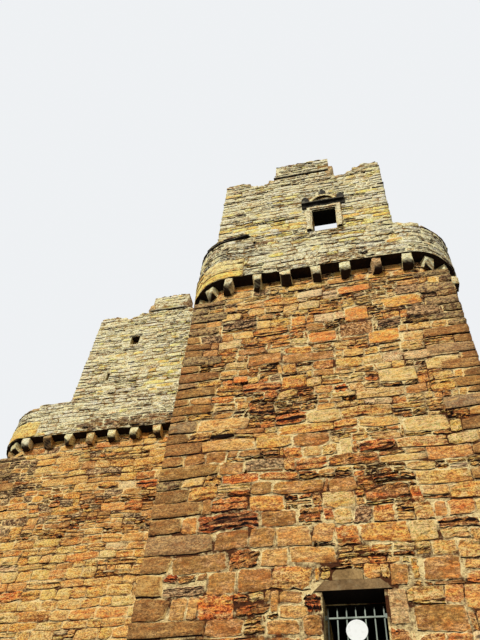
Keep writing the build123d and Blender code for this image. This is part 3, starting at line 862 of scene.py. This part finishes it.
def alternate(count, first):
    """Arms of quoins on the two sides of a corner, long and short in turn."""
    long_side = (np.arange(count) + first) % 2 == 0
    before = np.where(long_side, rng.uniform(0.55, 0.95, count), rng.uniform(0.28, 0.45, count))
    after = np.where(long_side, rng.uniform(0.28, 0.45, count), rng.uniform(0.55, 0.95, count))
    return before, after


def field(seed):
    """A smooth random field between 0 and 1 over places in metres."""
    dice = np.random.default_rng(seed)
    waves = dice.normal(0, 1, (6, 3)) * np.array([1.1, 1.1, 1.7])
    shift = dice.uniform(0, 6.3, 6)

    def value(x, y, z):
        total = sum(np.sin(w[0] * x + w[1] * y + w[2] * z + s) for w, s in zip(waves, shift))
        return 1 / (1 + np.exp(-total))
    return value


def spot(x, z, middle, half):
    """One at a place on a wall, fading to nothing at its half size away."""
    away = ((x - middle[0]) / half[0]) ** 2 + ((z - middle[1]) / half[1]) ** 2
    return np.clip(1.6 * (1 - away), 0, 1)


def choose(names, weights):
    """A kind for each stone by its weights, and how worn that kind is."""
    weights = np.stack(np.broadcast_arrays(*weights), 1)
    share = np.cumsum(weights / weights.sum(1, keepdims=True), 1)
    picked = (rng.random((len(weights), 1)) > share[:, :-1]).sum(1)
    kinds = [names[i] for i in picked]
    return kinds, wear_of(kinds)


def wear_of(kinds):
    """How worn each stone is."""
    return np.array([WORN.get(k, SOUND) for k in kinds]) * rng.uniform(0.6, 1.3, len(kinds))


def front_kinds(x, y, z):
    """Brown blocks on the left, brighter wear on the right, dark corners high up."""
    a = x - X0
    patchy = FIELD_A(x, y, z)
    right = np.clip((a - 2.4) / 2.0, 0, 1)
    sound = 0.4 + 1.4 * spot(a, z, (0.4, 6.5), (3.0, 3.5)) + 0.3 * spot(a, z, (6.0, 5.2), (2.2, 1.8))
    sound += 0.6 * spot(a, z, (1.2, 10.5), (1.7, 4.0))
    plain = 1.2 + 0.8 * patchy
    deep = (0.1 + 0.35 * (1 - patchy) ** 2) * (1 - 0.6 * right) + 0.5 * spot(a, z, (4.2, 10.5), (1.2, 0.6))
    pale = 0.12 + 0.25 * FIELD_B(x, y, z) + 1.0 * right + 4 * spot(a, z, (3.3, 14.1), (1.6, 0.7))
    dark = 0.03 + 16 * spot(a, z, (6.1, 13.3), (1.2, 1.1)) + 0.2 * spot(a, z, (3.3, 12.5), (0.6, 0.5))
    dark += 6 * spot(a, z, (0.3, 13.8), (0.8, 0.6))
    sunny = 5.0 * spot(a, z, (3.2, 14.1), (2.2, 0.8)) + 3.0 * right
    sunny += 0.5 * spot(a, z, (3.4, 12.4), (1.4, 1.0))
    return choose(LOWER + ("sunny",), (sound, plain, deep, pale, dark, sunny))


def side_kinds(x, y, z):
    """The mixed walling of the other sides."""
    patchy = FIELD_A(x, y, z)
    pale = 0.08 + 0.2 * FIELD_B(x, y, z)
    return choose(LOWER, (0.6 + 0.6 * patchy, 1.3, 0.1 + 0.3 * (1 - patchy) ** 2, pale, 0.05))


def main_kinds(x, y, z):
    """Dark at the top left, cream under the corbels, brown across the middle and sunny low down."""
    a = x - XM
    low = np.clip((11.5 - z) / 1.2, 0, 1) * np.clip((6.0 - a) / 1.2, 0, 1)
    middle = spot(a, z, (6.0, 12.0), (3.6, 1.1))
    dark = 0.05 + 9 * spot(a, z, (0.0, 13.7), (1.7, 1.6)) + 2 * spot(a, z, (1.0, 12.4), (1.9, 0.9))
    dark += 1.2 * middle
    deep = 0.05 + 1.4 * middle + 0.6 * spot(a, z, (6.4, 12.6), (1.6, 1.4))
    sound = 0.3 + 2.2 * middle + 1.5 * np.clip((a - 5.8) / 1.2, 0, 1) * (z < 12)
    sunny = 0.3 + 5 * low + 3 * spot(a, z, (2.0, 14.0), (1.6, 0.9))
    sunny += 2.5 * spot(a, z, (5.2, 14.3), (1.2, 0.6))
    pale = 0.05 + 0.8 * low + 1.8 * spot(a, z, (1.9, 14.1), (1.3, 0.7))
    pale += 1.5 * spot(a, z, (7.4, 14.2), (0.7, 0.6))
    plain = 0.7 + 0.5 * FIELD_A(x, y, z)
    return choose(LOWER + ("sunny",), (sound, plain, deep, pale, dark, sunny))


def quoin_kinds(x, y, z):
    """Long brown corner stones, grey near the top."""
    high = np.clip((z - TOP + 3) / 2.4, 0, 1)
    dark_corner = spot(x - X0, z, (6.3, 13.4), (0.6, 1.1)) * (y < Y0 + 1)
    return choose(("quoin", "dark", "pale"), (1 - 0.6 * high, 0.01 + 5 * high + 12 * dark_corner, 0.1))


def turned_kinds(x, y, z):
    """The courses that turn under the corbels, orange and cream."""
    dark_end = (x > X1 - 1.2) * (y < Y0 + 1)
    return choose(("weathered", "sunny", "dark"), (0.9, 1.5, 0.08 + 6 * dark_end))


def upper_kinds(x, y, z):
    """Cream and grey rubble with a golden part low on the wing's left."""
    a = x - X0
    low = spot(a, z, (1.3, 17.9), (1.7, 1.9)) * (y < YM)
    low += 0.8 * spot(a, z, (4.6, 18.9), (0.9, 0.7)) * (y < YM)
    low += 0.6 * spot(x - XM, z, (5.6, 18.2), (1.6, 1.8)) * (y > YM - 1)
    yellow = 3.5 * low + 1.5 * spot(a, z, (2.1, 20.7), (0.5, 0.4)) * (y < YM)
    golden = 0.08 + 0.25 * FIELD_B(x, y, z) ** 2
    lichen = 0.08 + 0.3 * FIELD_A(x, y, z) ** 2
    return choose(("upper", "golden", "lichen", "yellow"), (1.5, golden, lichen, yellow))


def parapet_kinds(x, y, z):
    """Cream courses, dark with lichen at foot and top, and a brown band low on the main front."""
    foot = np.clip(1 - (z - TOP) / 0.4, 0, 1)
    left = (x < X0 + 0.5) * (y < YM - 1)
    stained = spot(x - X0, z, (4.3, TOP + 0.1), (1.9, 0.5)) * (y < YM - 1)
    band = 12 * spot(x - XM, z, (5.3, TOP + 0.2), (2.6, 0.36)) * (y < YM + 0.5)
    crest = 0.7 * (z > PARAPET_TOP - 0.2)
    lichen = 0.06 + 0.5 * foot * FIELD_A(x, y, z) + 2.5 * stained + crest
    return choose(("parapet", "golden", "lichen", "brown band"), (1.2, 0.1 + 1.0 * left, lichen, band))


def yellow_kinds(x, y, z):
    """The tall courses low on the left rounds."""
    return choose(("yellow", "golden"), (np.full(len(x), 4.0), 1))


def on_front(name):
    """A node's left, right, foot and head on the wing's front."""
    low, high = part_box(name)
    return low.x - X0, high.x - X0, low.z, high.z


def corner_line(before, here, after, run):
    """A line round one corner, a run long on both sides."""
    here = np.array(here)
    ends = []
    for other in (before, after):
        way = np.array(other) - here
        ends.append(here + way / np.hypot(*way) * run)
    return Line([ends[0], here, ends[1]])


def lower_lines():
    """Course lines of the thick walls, from the ground to the turned courses."""
    below = levels(0, COURSES[0], COURSE, seed=3)
    above = levels(COURSES[-1], TOP - TURNED, COURSE, seed=4)
    return np.concatenate([below[:-1], COURSES[:-1], above])


def door_holes():
    """The doorway, its lintel and the stone over it, as holes in the wing's front."""
    lintel = on_front("door_lintel")
    left, right, _, sill = on_front("entrance_wall_base")
    door = (left, right, sill, lintel[2])
    over = (lintel[0], lintel[1], lintel[2] - 0.01, lintel[3])
    return door, over, on_front("door_relieving_stone")


def landmarks(line, stones, holes):
    """The stones that stand out on the wing's front, and the other stones with room for them."""
    marked = [stone[:4] for stone in LANDMARKS]
    named = [stone[4] for stone in LANDMARKS]
    rest = carve(stones, marked)
    stone_faces("wing_front_landmarks", line, marked, lambda *place: (named, wear_of(named)),
                RUBBLE, (12, 12), holes=holes)
    return rest


def lower_stones():
    """Stones and quoins of the thick walls below the turned courses."""
    lines = lower_lines()
    count = len(lines) - 1
    places = {"a": (X0, Y0), "b": (X1, Y0), "c": (X1, Y1), "d": (XM, Y1), "e": (XM, YM), "f": (X0, YM)}
    arms = {k: alternate(count, i) for i, k in enumerate("abcde")}
    arms["f"] = (0, 0)
    for low, reach in CORNER_REACH.items():
        arms["a"][1][np.flatnonzero(lines == low)] = reach
    low_rows = np.where(lines[:-1] < MIXED_ABOVE, 0.06, 0.5)
    looks = {
        "ab": ("wing_front_stones", front_kinds, (8, 10), 0.38, door_holes()),
        "bc": ("right_stones", side_kinds, (5, 5), 0.3, ()),
        "cd": ("rear_stones", side_kinds, (5, 5), 0.3, ()),
        "de": ("left_stones", side_kinds, (5, 5), 0.3, ()),
        "ef": ("main_front_stones", main_kinds, (7, 8), low_rows, ()),
        "fa": ("wing_left_stones", side_kinds, (5, 5), 0.3, ()),
    }
    for ends, (name, kinds, grid, busy, holes) in looks.items():
        line = Line([places[ends[0]], places[ends[1]]])
        stones = carve(lay(line.length, lines, busy, (arms[ends[0]][1], arms[ends[1]][0])), holes)
        if ends == "ab":
            stones = landmarks(line, stones, holes)
        look = SUNNY if ends == "ef" else RUBBLE
        stone_faces(name, line, stones, kinds, look, grid, holes=holes)
    for before, corner, after in ("fab", "abc", "bcd", "cde", "def"):
        line = corner_line(places[before], places[corner], places[after], QUOIN_RUN)
        lower_quoins(corner, line, lines, arms[corner])


def lower_quoins(corner, line, lines, arm):
    """Long and short corner stones of the thick walls."""
    stones = [(QUOIN_RUN - arm[0][k], QUOIN_RUN + arm[1][k], low, high)
              for k, (low, high) in enumerate(pairs(lines))]
    stone_faces(f"quoins_{corner}", line, stones, quoin_kinds, QUOINS, (10, 8),
                proud=(0.02, 0.034))


def outline_with_rounds(radius, out):
    """The outline with rounded corners, from the wing's left side round to the main block's front."""
    inset = CORNER_ROUND
    points = [(X0 - out, Y0 + inset)] + arc(X0 + inset, Y0 + inset, radius, 180, 90)
    points += [(X0 + inset, Y0 - out), (X1 - inset, Y0 - out)] + arc(X1 - inset, Y0 + inset, radius, 270, 90)
    points += [(X1 + out, Y0 + inset), (X1 + out, Y1 - inset)] + arc(X1 - inset, Y1 - inset, radius, 0, 90)
    points += [(X1 - inset, Y1 + out), (XM + inset, Y1 + out)] + arc(XM + inset, Y1 - inset, radius, 90, 90)
    points += [(XM - out, Y1 - inset), (XM - out, YM + inset)] + arc(XM + inset, YM + inset, radius, 180, 90)
    return points + [(XM + inset, YM - out), (X0, YM - out)]


def turned_stones():
    """The last courses of the thick walls, which turn round the corners under the corbels."""
    line = Line([(X0, YM)] + outline_with_rounds(CORNER_ROUND, 0))
    lines = levels(TOP - TURNED, TOP - 0.002, COURSE, seed=5)
    stones = lay(line.length, lines, busy=0.2)
    stone_faces("turned_stones", line, stones, turned_kinds, RUBBLE, (6, 6),
                proud=(0.01, 0.022))


def parapet_stones():
    """Courses on the parapet's outer and inner faces, and the taller ones on the entrance round."""
    outer = Line(outline_with_rounds(ROUND, PARAPET_OUT))
    round_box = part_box("entrance_round")
    bends = outer.u[[ARC_STEPS, ARC_STEPS + 1]]
    split_u = float(np.interp(round_box[1].x, [X0 + CORNER_ROUND, X1 - CORNER_ROUND], bends))
    lines = levels(TOP + 0.005, PARAPET_TOP, PARAPET_COURSE, seed=8)
    stones = lay(outer.length, lines, busy=0.2, stretch=(1.6, 3.4))
    stones += lay(split_u, levels(PARAPET_TOP, round_box[1].z, PARAPET_COURSE, seed=9), busy=0.2)
    tall = [(0, outer.u[ARC_STEPS] + 0.4, TOP + 0.005, lines[5]),
            (outer.u[-2 - ARC_STEPS] - 0.2, outer.u[-2] + 0.3, TOP + 0.005, lines[4])]
    stones = under(carve(stones, tall), skyline(outer))
    stone_faces("parapet_outer_stones", outer, stones, parapet_kinds, PARAPET, (7, 7),
                proud=(0.004, 0.014), dark=0.6)
    yellow = []
    for start, stop, low, high in tall:
        for c, d in pairs(levels(low, high, ROUND_COURSE, seed=15)):
            yellow += [(a, b, c, d) for a, b in pairs(start + split(stop - start, *ROUND_STONE))]
    stone_faces("parapet_round_stones", outer, yellow, yellow_kinds, GOLDEN, (14, 8),
                proud=(0.01, 0.024))
    inner = Line(outline_with_rounds(ROUND - PARAPET_THICK, PARAPET_OUT - PARAPET_THICK)[::-1])
    stones = lay(inner.length, levels(WALK_TOP, PARAPET_TOP, PARAPET_COURSE, seed=10), busy=0.1)
    stones = under(stones, skyline(inner))
    stone_faces("parapet_inner_stones", inner, stones, parapet_kinds, PARAPET, (4, 4),
                proud=(0.01, 0.02))


def upper_stones():
    """Stones of the upper house: outer faces with their corners, and plain inner faces."""
    lines = levels(WALK_TOP, HEAD + 1.1, UPPER_COURSE, seed=12)
    arms = [tuple(UPPER_ARM * side for side in alternate(len(lines) - 1, i)) for i in range(5)] + [(0, 0)]
    bow = on_front("window_pediment")
    window = [on_front("window_surround"), on_front("window_cornice"),
              (*bow[:3], (bow[3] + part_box("window_crown")[1].z) / 2)]
    tops = []
    for i, side in enumerate(SIDES):
        line = Line([UPPER_PLAN[i], UPPER_PLAN[(i + 1) % 6]])
        top = skyline(line)
        tops.append(top)
        margin = 0 if side == "main_front" else SURROUND
        holes = window if side == "front" else [grown(hole, margin) for hole in holes_in(side, line, top)]
        holes = holes + string_hole(line)
        ends = (arms[i][1], arms[(i + 1) % 6][0])
        stones = lay(line.length, lines, busy=0.35, ends=ends, stretch=(1.4, 3.6))
        stones = under(carve(stones, holes, LEAST_UPPER), top)
        grid = (6, 6) if side in ("front", "main_front") else (4, 4)
        # Less painted shade under the stones of the main front than of the other sides.
        dark = 0.7 if side == "main_front" else 0.55
        stone_faces(f"upper_{side}_stones", line, stones, upper_kinds, UPPER_WALL, grid,
                    proud=(0.005, 0.018), holes=holes, dark=dark)
    for i in range(5):
        upper_quoins(i, lines, arms[i], tops)
    inner_faces(lines)


def grown(hole, margin):
    """A hole with room for its surround."""
    return hole[0] - margin, hole[1] + margin, hole[2] - 0.02 * (margin > 0), hole[3] + margin


def string_hole(line):
    """Where string courses cross a side."""
    found = []
    start = line.p[0]
    way = (line.p[1] - start) / line.length
    for part in loose_parts("string_courses"):
        flat = np.array([v[:2] for v in part]) - start
        if np.ptp(flat @ way) > 0.5 and 0 < (flat @ line.n[0]).max() < 0.2:
            u = flat @ way
            z = [v[2] for v in part]
            found.append((u.min(), u.max(), min(z), max(z)))
    return found


def loose_parts(name):
    """Corner places of each separate solid in a node, in the order of their low corners."""
    mesh = bmesh.new()
    mesh.from_mesh(nodes[name].data)
    bmesh.ops.remove_doubles(mesh, verts=mesh.verts, dist=1e-5)
    left = dict.fromkeys(mesh.verts)
    parts = []
    while left:
        seed = left.popitem()[0]
        group, queue = [seed], [seed]
        while queue:
            for edge in queue.pop().link_edges:
                for vertex in edge.verts:
                    if vertex in left:
                        del left[vertex]
                        group.append(vertex)
                        queue.append(vertex)
        parts.append([tuple(v.co) for v in group])
    mesh.free()
    return sorted(parts, key=lambda part: np.min(part, 0).round(3).tolist())


def upper_quoins(i, lines, arm, tops):
    """Corner stones of the upper house, up to its broken head."""
    line = corner_line(UPPER_PLAN[i - 1], UPPER_PLAN[i], UPPER_PLAN[i + 1], UPPER_RUN)
    before = math.dist(UPPER_PLAN[i - 1], UPPER_PLAN[i])
    head = min(tops[i](0.2), tops[i - 1](before - 0.2))
    stones = [(UPPER_RUN - arm[0][k], UPPER_RUN + arm[1][k], low, min(head, high))
              for k, (low, high) in enumerate(pairs(lines)) if low < head - 0.05]
    stone_faces(f"upper_quoins_{i}", line, stones, upper_kinds, UPPER_WALL, (8, 6),
                proud=(0.012, 0.024), dark=0.55)


def inner_faces(lines):
    """The upper house seen from inside."""
    signs = [(1, 1), (-1, 1), (-1, -1), (1, -1), (1, 1), (1, 1)]
    inside = [(x + UPPER_THICK * a, y + UPPER_THICK * b) for (x, y), (a, b) in zip(UPPER_PLAN, signs)]
    for i in (0, 5, 4, 3, 2, 1):
        side = SIDES[i]
        line = Line([inside[(i + 1) % 6], inside[i]])
        top = skyline(line)
        if side == "front":
            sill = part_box("upper_front_base")
            near = line.p[0][0]
            holes = [(near - sill[1].x, near - sill[0].x, sill[1].z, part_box("upper_front_head")[0].z)]
        else:
            holes = holes_in(side, line, top)
        stones = carve(lay(line.length, lines, busy=0.1, stretch=(1.8, 3.8)), holes, LEAST_UPPER)
        stone_faces(f"upper_{side}_inner_stones", line, under(stones, top), upper_kinds,
                    UPPER_WALL, (4, 4), proud=(0.008, 0.02), holes=holes)


def block_template(steps=2):
    """A rounded block as corners from -1 to 1 and its faces."""
    mesh = bmesh.new()
    bmesh.ops.create_cube(mesh, size=2)
    bmesh.ops.subdivide_edges(mesh, edges=mesh.edges[:], cuts=steps, use_grid_fill=True)
    places = np.array([v.co for v in mesh.verts])
    places /= (np.abs(places) ** 7).sum(1, keepdims=True) ** (1 / 7)
    faces = np.array([[v.index for v in f.verts] for f in mesh.faces])
    mesh.free()
    return places, faces


def loose_blocks(name, blocks, kinds, material, rough=0.012):
    """Uneven blocks, each given by its middle, half size and turn."""
    shape, faces = block_template()
    data = np.array(blocks, float)
    n = len(data)
    local = shape[None] * data[:, None, 3:6] + rng.normal(0, rough, (n, len(shape), 3))
    c, s = np.cos(data[:, 6])[:, None], np.sin(data[:, 6])[:, None]
    x = local[..., 0] * c - local[..., 1] * s + data[:, None, 0]
    y = local[..., 0] * s + local[..., 1] * c + data[:, None, 1]
    z = local[..., 2] + data[:, None, 2]
    places = np.stack([x, y, z], -1).reshape(-1, 3)
    all_faces = (np.arange(n)[:, None, None] * len(shape) + faces).reshape(-1, 4)
    tone = np.ones((n, len(shape), 4))
    tone[..., :3] = pick(kinds)[:, None] * rng.uniform(0.7, 1.1, (n, len(shape), 1))
    tone[..., 3] = BLOCK_WEAR
    mesh_object(name, places, all_faces, tone.reshape(-1, 4), material)


def head_rubble(name, line, thick, size, kinds, material, rise=(0.01, 0.07)):
    """Stones bedded on a wall's head, two across, so that it ends ragged."""
    top = skyline(line, thick / 2)
    blocks = []
    u = 0.05
    while u < line.length - 0.1:
        span = min(rng.uniform(*size), line.length - u)
        middle = u + span / 2
        heights = heads_over(top, u, u + span)
        low = min(heights) - BEDDED
        high = (min(heights) + max(heights)) / 2 + rng.uniform(*rise)
        across = np.array([0, rng.uniform(0.35, 0.65), 1]) * (thick + 0.03) - 0.015
        for a, b in pairs(across):
            up = high + rng.uniform(-0.03, 0.015)
            x, y = line.at(np.array(middle), np.array(-(a + b) / 2))
            k = min(np.searchsorted(line.u, middle) - 1, len(line.n) - 1)
            turn = math.atan2(line.n[k][0], -line.n[k][1]) + rng.normal(0, 0.03)
            blocks.append((x, y, (low + up) / 2, span / 2 + 0.004, (b - a) / 2 + 0.004, (up - low) / 2, turn))
        u += span
    loose_blocks(name, blocks, [kinds[rng.integers(len(kinds))] for _ in blocks], material)


def heads():
    """Rubble on the broken heads of the upper house and along the parapet."""
    mix = ("upper", "lichen", "dark", "lichen")
    for i, side in enumerate(SIDES):
        line = Line([UPPER_PLAN[i], UPPER_PLAN[(i + 1) % 6]])
        head_rubble(f"upper_{side}_head_rubble", line, UPPER_THICK, HEAD_STONE, mix,
                    UPPER_WALL)
    line = Line(outline_with_rounds(ROUND, PARAPET_OUT))
    mix = ("parapet", "lichen", "dark", "dark")
    head_rubble("parapet_head_stones", line, PARAPET_THICK, CREST_STONE, mix, PARAPET,
                rise=(0.0, 0.03))


def chips(name, co, depth):
    """Corners broken off each separate solid of a node, and the solid that each place belongs to."""
    parts = [np.array(part) for part in loose_parts(name)]
    middles = np.array([part.mean(0) for part in parts])
    owner = ((co[:, None] - middles[None]) ** 2).sum(2).argmin(1)
    for k, part in enumerate(parts):
        mine = np.flatnonzero(owner == k)
        for _ in range(5):
            way = rng.normal(0, 1, 3) * (1, 1, 0.7) - (0, 0, 0.9)
            way /= np.linalg.norm(way)
            reach = (part @ way).max() - depth * rng.uniform(0.2, 1.6)
            beyond = np.maximum(co[mine] @ way - reach, 0)
            co[mine] -= way * (0.85 * beyond)[:, None]
    return owner, len(parts)


def voxel_copy(name, voxel):
    """A CAD solid's own shape with small even faces."""
    mesh = bpy.data.meshes.new(f"{name}_worn")
    built = bmesh.new()
    built.from_mesh(nodes[name].data)
    bmesh.ops.remove_doubles(built, verts=built.verts, dist=1e-5)
    built.to_mesh(mesh)
    built.free()
    piece = add(f"{name}_worn", mesh)
    fine = piece.modifiers.new("even", "REMESH")
    fine.mode = "VOXEL"
    fine.voxel_size = voxel
    depsgraph = bpy.context.evaluated_depsgraph_get()
    even = bpy.data.meshes.new_from_object(piece.evaluated_get(depsgraph))
    piece.modifiers.clear()
    piece.data = even
    return piece


def weathered(name, material, voxel, wear, grain, chip=0.0, kind="corbel"):
    """A CAD solid with worn arrises and an uneven face, which stands for it."""
    piece = voxel_copy(name, voxel)
    mesh = piece.data
    count = len(mesh.vertices)
    co = np.empty(count * 3)
    normal = np.empty(count * 3)
    mesh.vertices.foreach_get("co", co)
    mesh.vertices.foreach_get("normal", normal)
    co, normal = co.reshape(-1, 3), normal.reshape(-1, 3)
    owner, parts = chips(name, co, chip)
    co -= normal * (wear * dents(co, grain))[:, None]
    mesh.vertices.foreach_set("co", co.ravel())
    tone = np.full((count, 4), TRIM_WEAR)
    tone[:, :3] = pick([kind] * parts)[owner]
    edge = np.zeros((count, 4))
    edge[:, 1] = LICHEN.get(kind, CLEAN)
    paint(mesh, "tone", tone)
    paint(mesh, "edge", edge)
    mesh.materials.clear()
    mesh.materials.append(material)
    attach(piece, "root")
    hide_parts(name)


def dents(places, grain):
    """Uneven wear between 0 and about 1 at places in metres."""
    dice = np.random.default_rng(21)
    total = np.zeros(len(places))
    for octave in range(4):
        scale = grain * 1.9 ** octave
        for _ in range(4):
            way = dice.normal(0, 1, 3) * scale
            total += np.sin(places @ way + dice.uniform(0, 6.3)) * 0.62 ** octave
    return np.clip(0.5 + total / 6, 0, 1.4)


def dressed():
    """Corbels, lintel, window trim, copings and string courses, worn as in the photo."""
    for name in ("wing_front_corbels", "wing_left_corbel", "main_front_corbels"):
        weathered(name, CORBEL, voxel=0.022, wear=0.03, grain=5, chip=0.07)
    for name in ("right_corbels", "rear_corbels", "left_corbels"):
        weathered(name, CORBEL, voxel=0.037, wear=0.03, grain=5, chip=0.06)
    weathered("door_lintel", LINTEL, voxel=0.02, wear=0.01, grain=5)
    weathered("door_relieving_stone", RELIEVING, voxel=0.016, wear=0.014, grain=8)
    weathered("entrance_round_coping", DARK_TRIM, voxel=0.03, wear=0.04, grain=6)
    weathered("string_courses", TRIM, voxel=0.035, wear=0.03, grain=5)
    for name, look, wear, kind in (
        ("window_surround", UPPER_WALL, 0.022, "window stone"),
        ("window_pediment", UPPER_WALL, 0.016, "window stone"),
        ("window_cornice", DARK_TRIM, 0.016, "corbel"),
        ("window_finials", BLACK_TRIM, 0.016, "corbel"),
        ("window_crown", BLACK_TRIM, 0.016, "corbel"),
    ):
        weathered(name, look, voxel=0.018, wear=wear, grain=7, kind=kind)
    weathered("plain_window_surrounds", TRIM, voxel=0.03, wear=0.02, grain=6)


def corner_bracket():
    """The two worn stones that stick out of the wing's right side under its corner."""
    blocks = [(X1 + 0.08, Y0 + 0.4, TOP - 0.62, 0.18, 0.15, 0.17, 0.05),
              (X1 + 0.04, Y0 + 0.4, TOP - 0.92, 0.11, 0.14, 0.14, -0.04)]
    loose_blocks("corner_bracket", blocks, ["corbel", "corbel"], CORBEL, rough=0.008)


def dress_cad():
    """Finishes for the CAD nodes that stay in view."""
    looks = {
        "rubble_wall": LOWER_BED, "pale_rubble": UPPER_BED, "parapet_stone": UPPER_BED,
        "corbel_stone": CORBEL, "paving_stone": PAVING, "dressed_stone": TRIM,
        "gate_iron": iron_material(), "disc_white": disc_material(),
    }
    for part in frame["record"]["subparts"]:
        data = nodes[part["node"]].data
        data.materials.clear()
        data.materials.append(looks[part["material_slot"]])


def soot():
    """Near-black painted shade on the inner faces of the doorway and of the front window, standing also for
    soot.
    """
    for prefix in ("entrance_wall", "upper_front"):
        low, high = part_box(f"{prefix}_base")
        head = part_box(f"{prefix}_head")[0].z
        for part in ("left", "right", "base", "head"):
            data = nodes[f"{prefix}_{part}"].data
            data.materials.append(REVEAL_SHADE)
            for face in data.polygons:
                x, _, z = face.center
                inside = low.x - 0.002 < x < high.x + 0.002 and high.z - 0.002 < z < head + 0.002
                if inside and abs(face.normal.y) < 0.5:
                    face.material_index = 1


def ground():
    """A plain pale floor."""
    mesh = bmesh.new()
    bmesh.ops.create_circle(mesh, cap_ends=True, segments=96, radius=FLOOR_RADIUS)
    data = bpy.data.meshes.new("floor")
    mesh.to_mesh(data)
    mesh.free()
    s = Shader("pale floor", 0.9)
    seen = s.node("LightPath").outputs["Is Camera Ray"]
    data.materials.append(s.finish(s.blend("MIX", seen, (120, 118, 112), (216, 215, 210))))
    floor = add("floor", data)
    floor.location.z = -FLOOR_DROP


# Where the walls stand, read from the frame.
X0, Y0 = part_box("entrance_wall_left")[0].xy
X1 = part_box("entrance_wall_right")[1].x
XM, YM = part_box("main_front_wall")[0].xy
Y1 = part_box("rear_wall")[1].y
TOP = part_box("rear_wall")[1].z
PARAPET_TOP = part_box("wing_front_parapet")[1].z
PARAPET_OUT = Y0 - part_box("wing_front_parapet")[0].y
PARAPET_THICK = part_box("wing_front_parapet")[1].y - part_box("wing_front_parapet")[0].y
WALK_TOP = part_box("wall_walk_wing")[1].z
U0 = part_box("upper_front_left")[0].y
UPPER_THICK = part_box("upper_front_left")[1].y - U0
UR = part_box("upper_right")[1].x
U1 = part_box("upper_rear")[1].y
UL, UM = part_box("upper_main_front")[0].xy
UPPER_PLAN = [(X0, U0), (UR, U0), (UR, U1), (UL, U1), (UL, UM), (X0, UM)]
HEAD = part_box("string_courses")[0].z
FIELD_A = field(31)
FIELD_B = field(32)

# Shared tones of the finishes, and the finishes.
# Painted shade for the faces that look down.
UNDERSIDE_SHADE = (40, 24, 12)
SHADE, WARM_SHADE, DARK_SPECK = (190, 154, 122), (214, 166, 118), (104, 86, 58)
SHINE = (324, 304, 284)
PIT, CRACK = (150, 92, 44), (112, 56, 22)
PALE_PIT, PALE_CRACK = (190, 156, 96), (108, 78, 34)
RUBBLE = masonry("orange rubble", (250, 202, 138), (244, 124, 56), 0.45, (255, 208, 146), (255, 232, 168),
                 PIT, CRACK)
SUNNY = masonry("sunny rubble", (255, 220, 152), (252, 156, 72), 0.45, (255, 214, 146), (255, 214, 138),
                PIT, CRACK)
QUOINS = masonry("brown quoins", (216, 190, 130), (206, 122, 58), 0.3, (222, 176, 106), (250, 208, 128),
                 PIT, CRACK)
UPPER_WALL = masonry("pale rubble", (255, 248, 212), (255, 214, 122), 0.35, (255, 248, 208), (255, 244, 196),
                     PALE_PIT, PALE_CRACK, 3)
PARAPET = masonry("parapet stone", (255, 248, 208), (232, 206, 136), 0.3, (255, 248, 204), (255, 244, 192),
                  PALE_PIT, PALE_CRACK, 2)
GOLDEN = masonry("golden stone", (252, 236, 176), (255, 196, 96), 0.3, (255, 232, 156), (246, 206, 126),
                 PALE_PIT, CRACK, 3)
LOWER_BED = bed_material("lower mortar", (255, 228, 160), (88, 48, 18))
UPPER_BED = bed_material("upper mortar", (255, 246, 194), (144, 106, 50))
PAVING = trim_material("worn paving", (150, 144, 124), (122, 116, 98), (170, 170, 140), 0.5)
CORBEL = masonry("corbel stone", (255, 246, 200), (240, 200, 126), 0.3, (255, 248, 200), (255, 240, 186),
                 (206, 180, 126), (166, 136, 86), 2)
TRIM = trim_material("window trim", (178, 164, 128), (134, 122, 94), (206, 204, 180), 0.5)
DARK_TRIM = trim_material("dark trim", (104, 96, 78), (60, 54, 42), (206, 200, 164), 0.75)
BLACK_TRIM = trim_material("blackened trim", (66, 60, 48), (36, 32, 25), (196, 188, 156), 0.45)
LINTEL = trim_material("lintel stone", (158, 126, 82), (122, 94, 58), (176, 156, 114), 0.35)
RELIEVING = trim_material("relieving stone", (188, 152, 96), (148, 116, 70), (206, 182, 130), 0.4)
# Near-black painted shade, with soot, for the inner faces of the openings.
REVEAL_SHADE = trim_material("painted shade reveal", (30, 22, 15), (18, 13, 9), (44, 34, 24), 0.3)

solids = solid_tree()
dress_cad()
soot()
lower_stones()
turned_stones()
parapet_stones()
upper_stones()
heads()
dressed()
corner_bracket()
ground()
camera()
light()
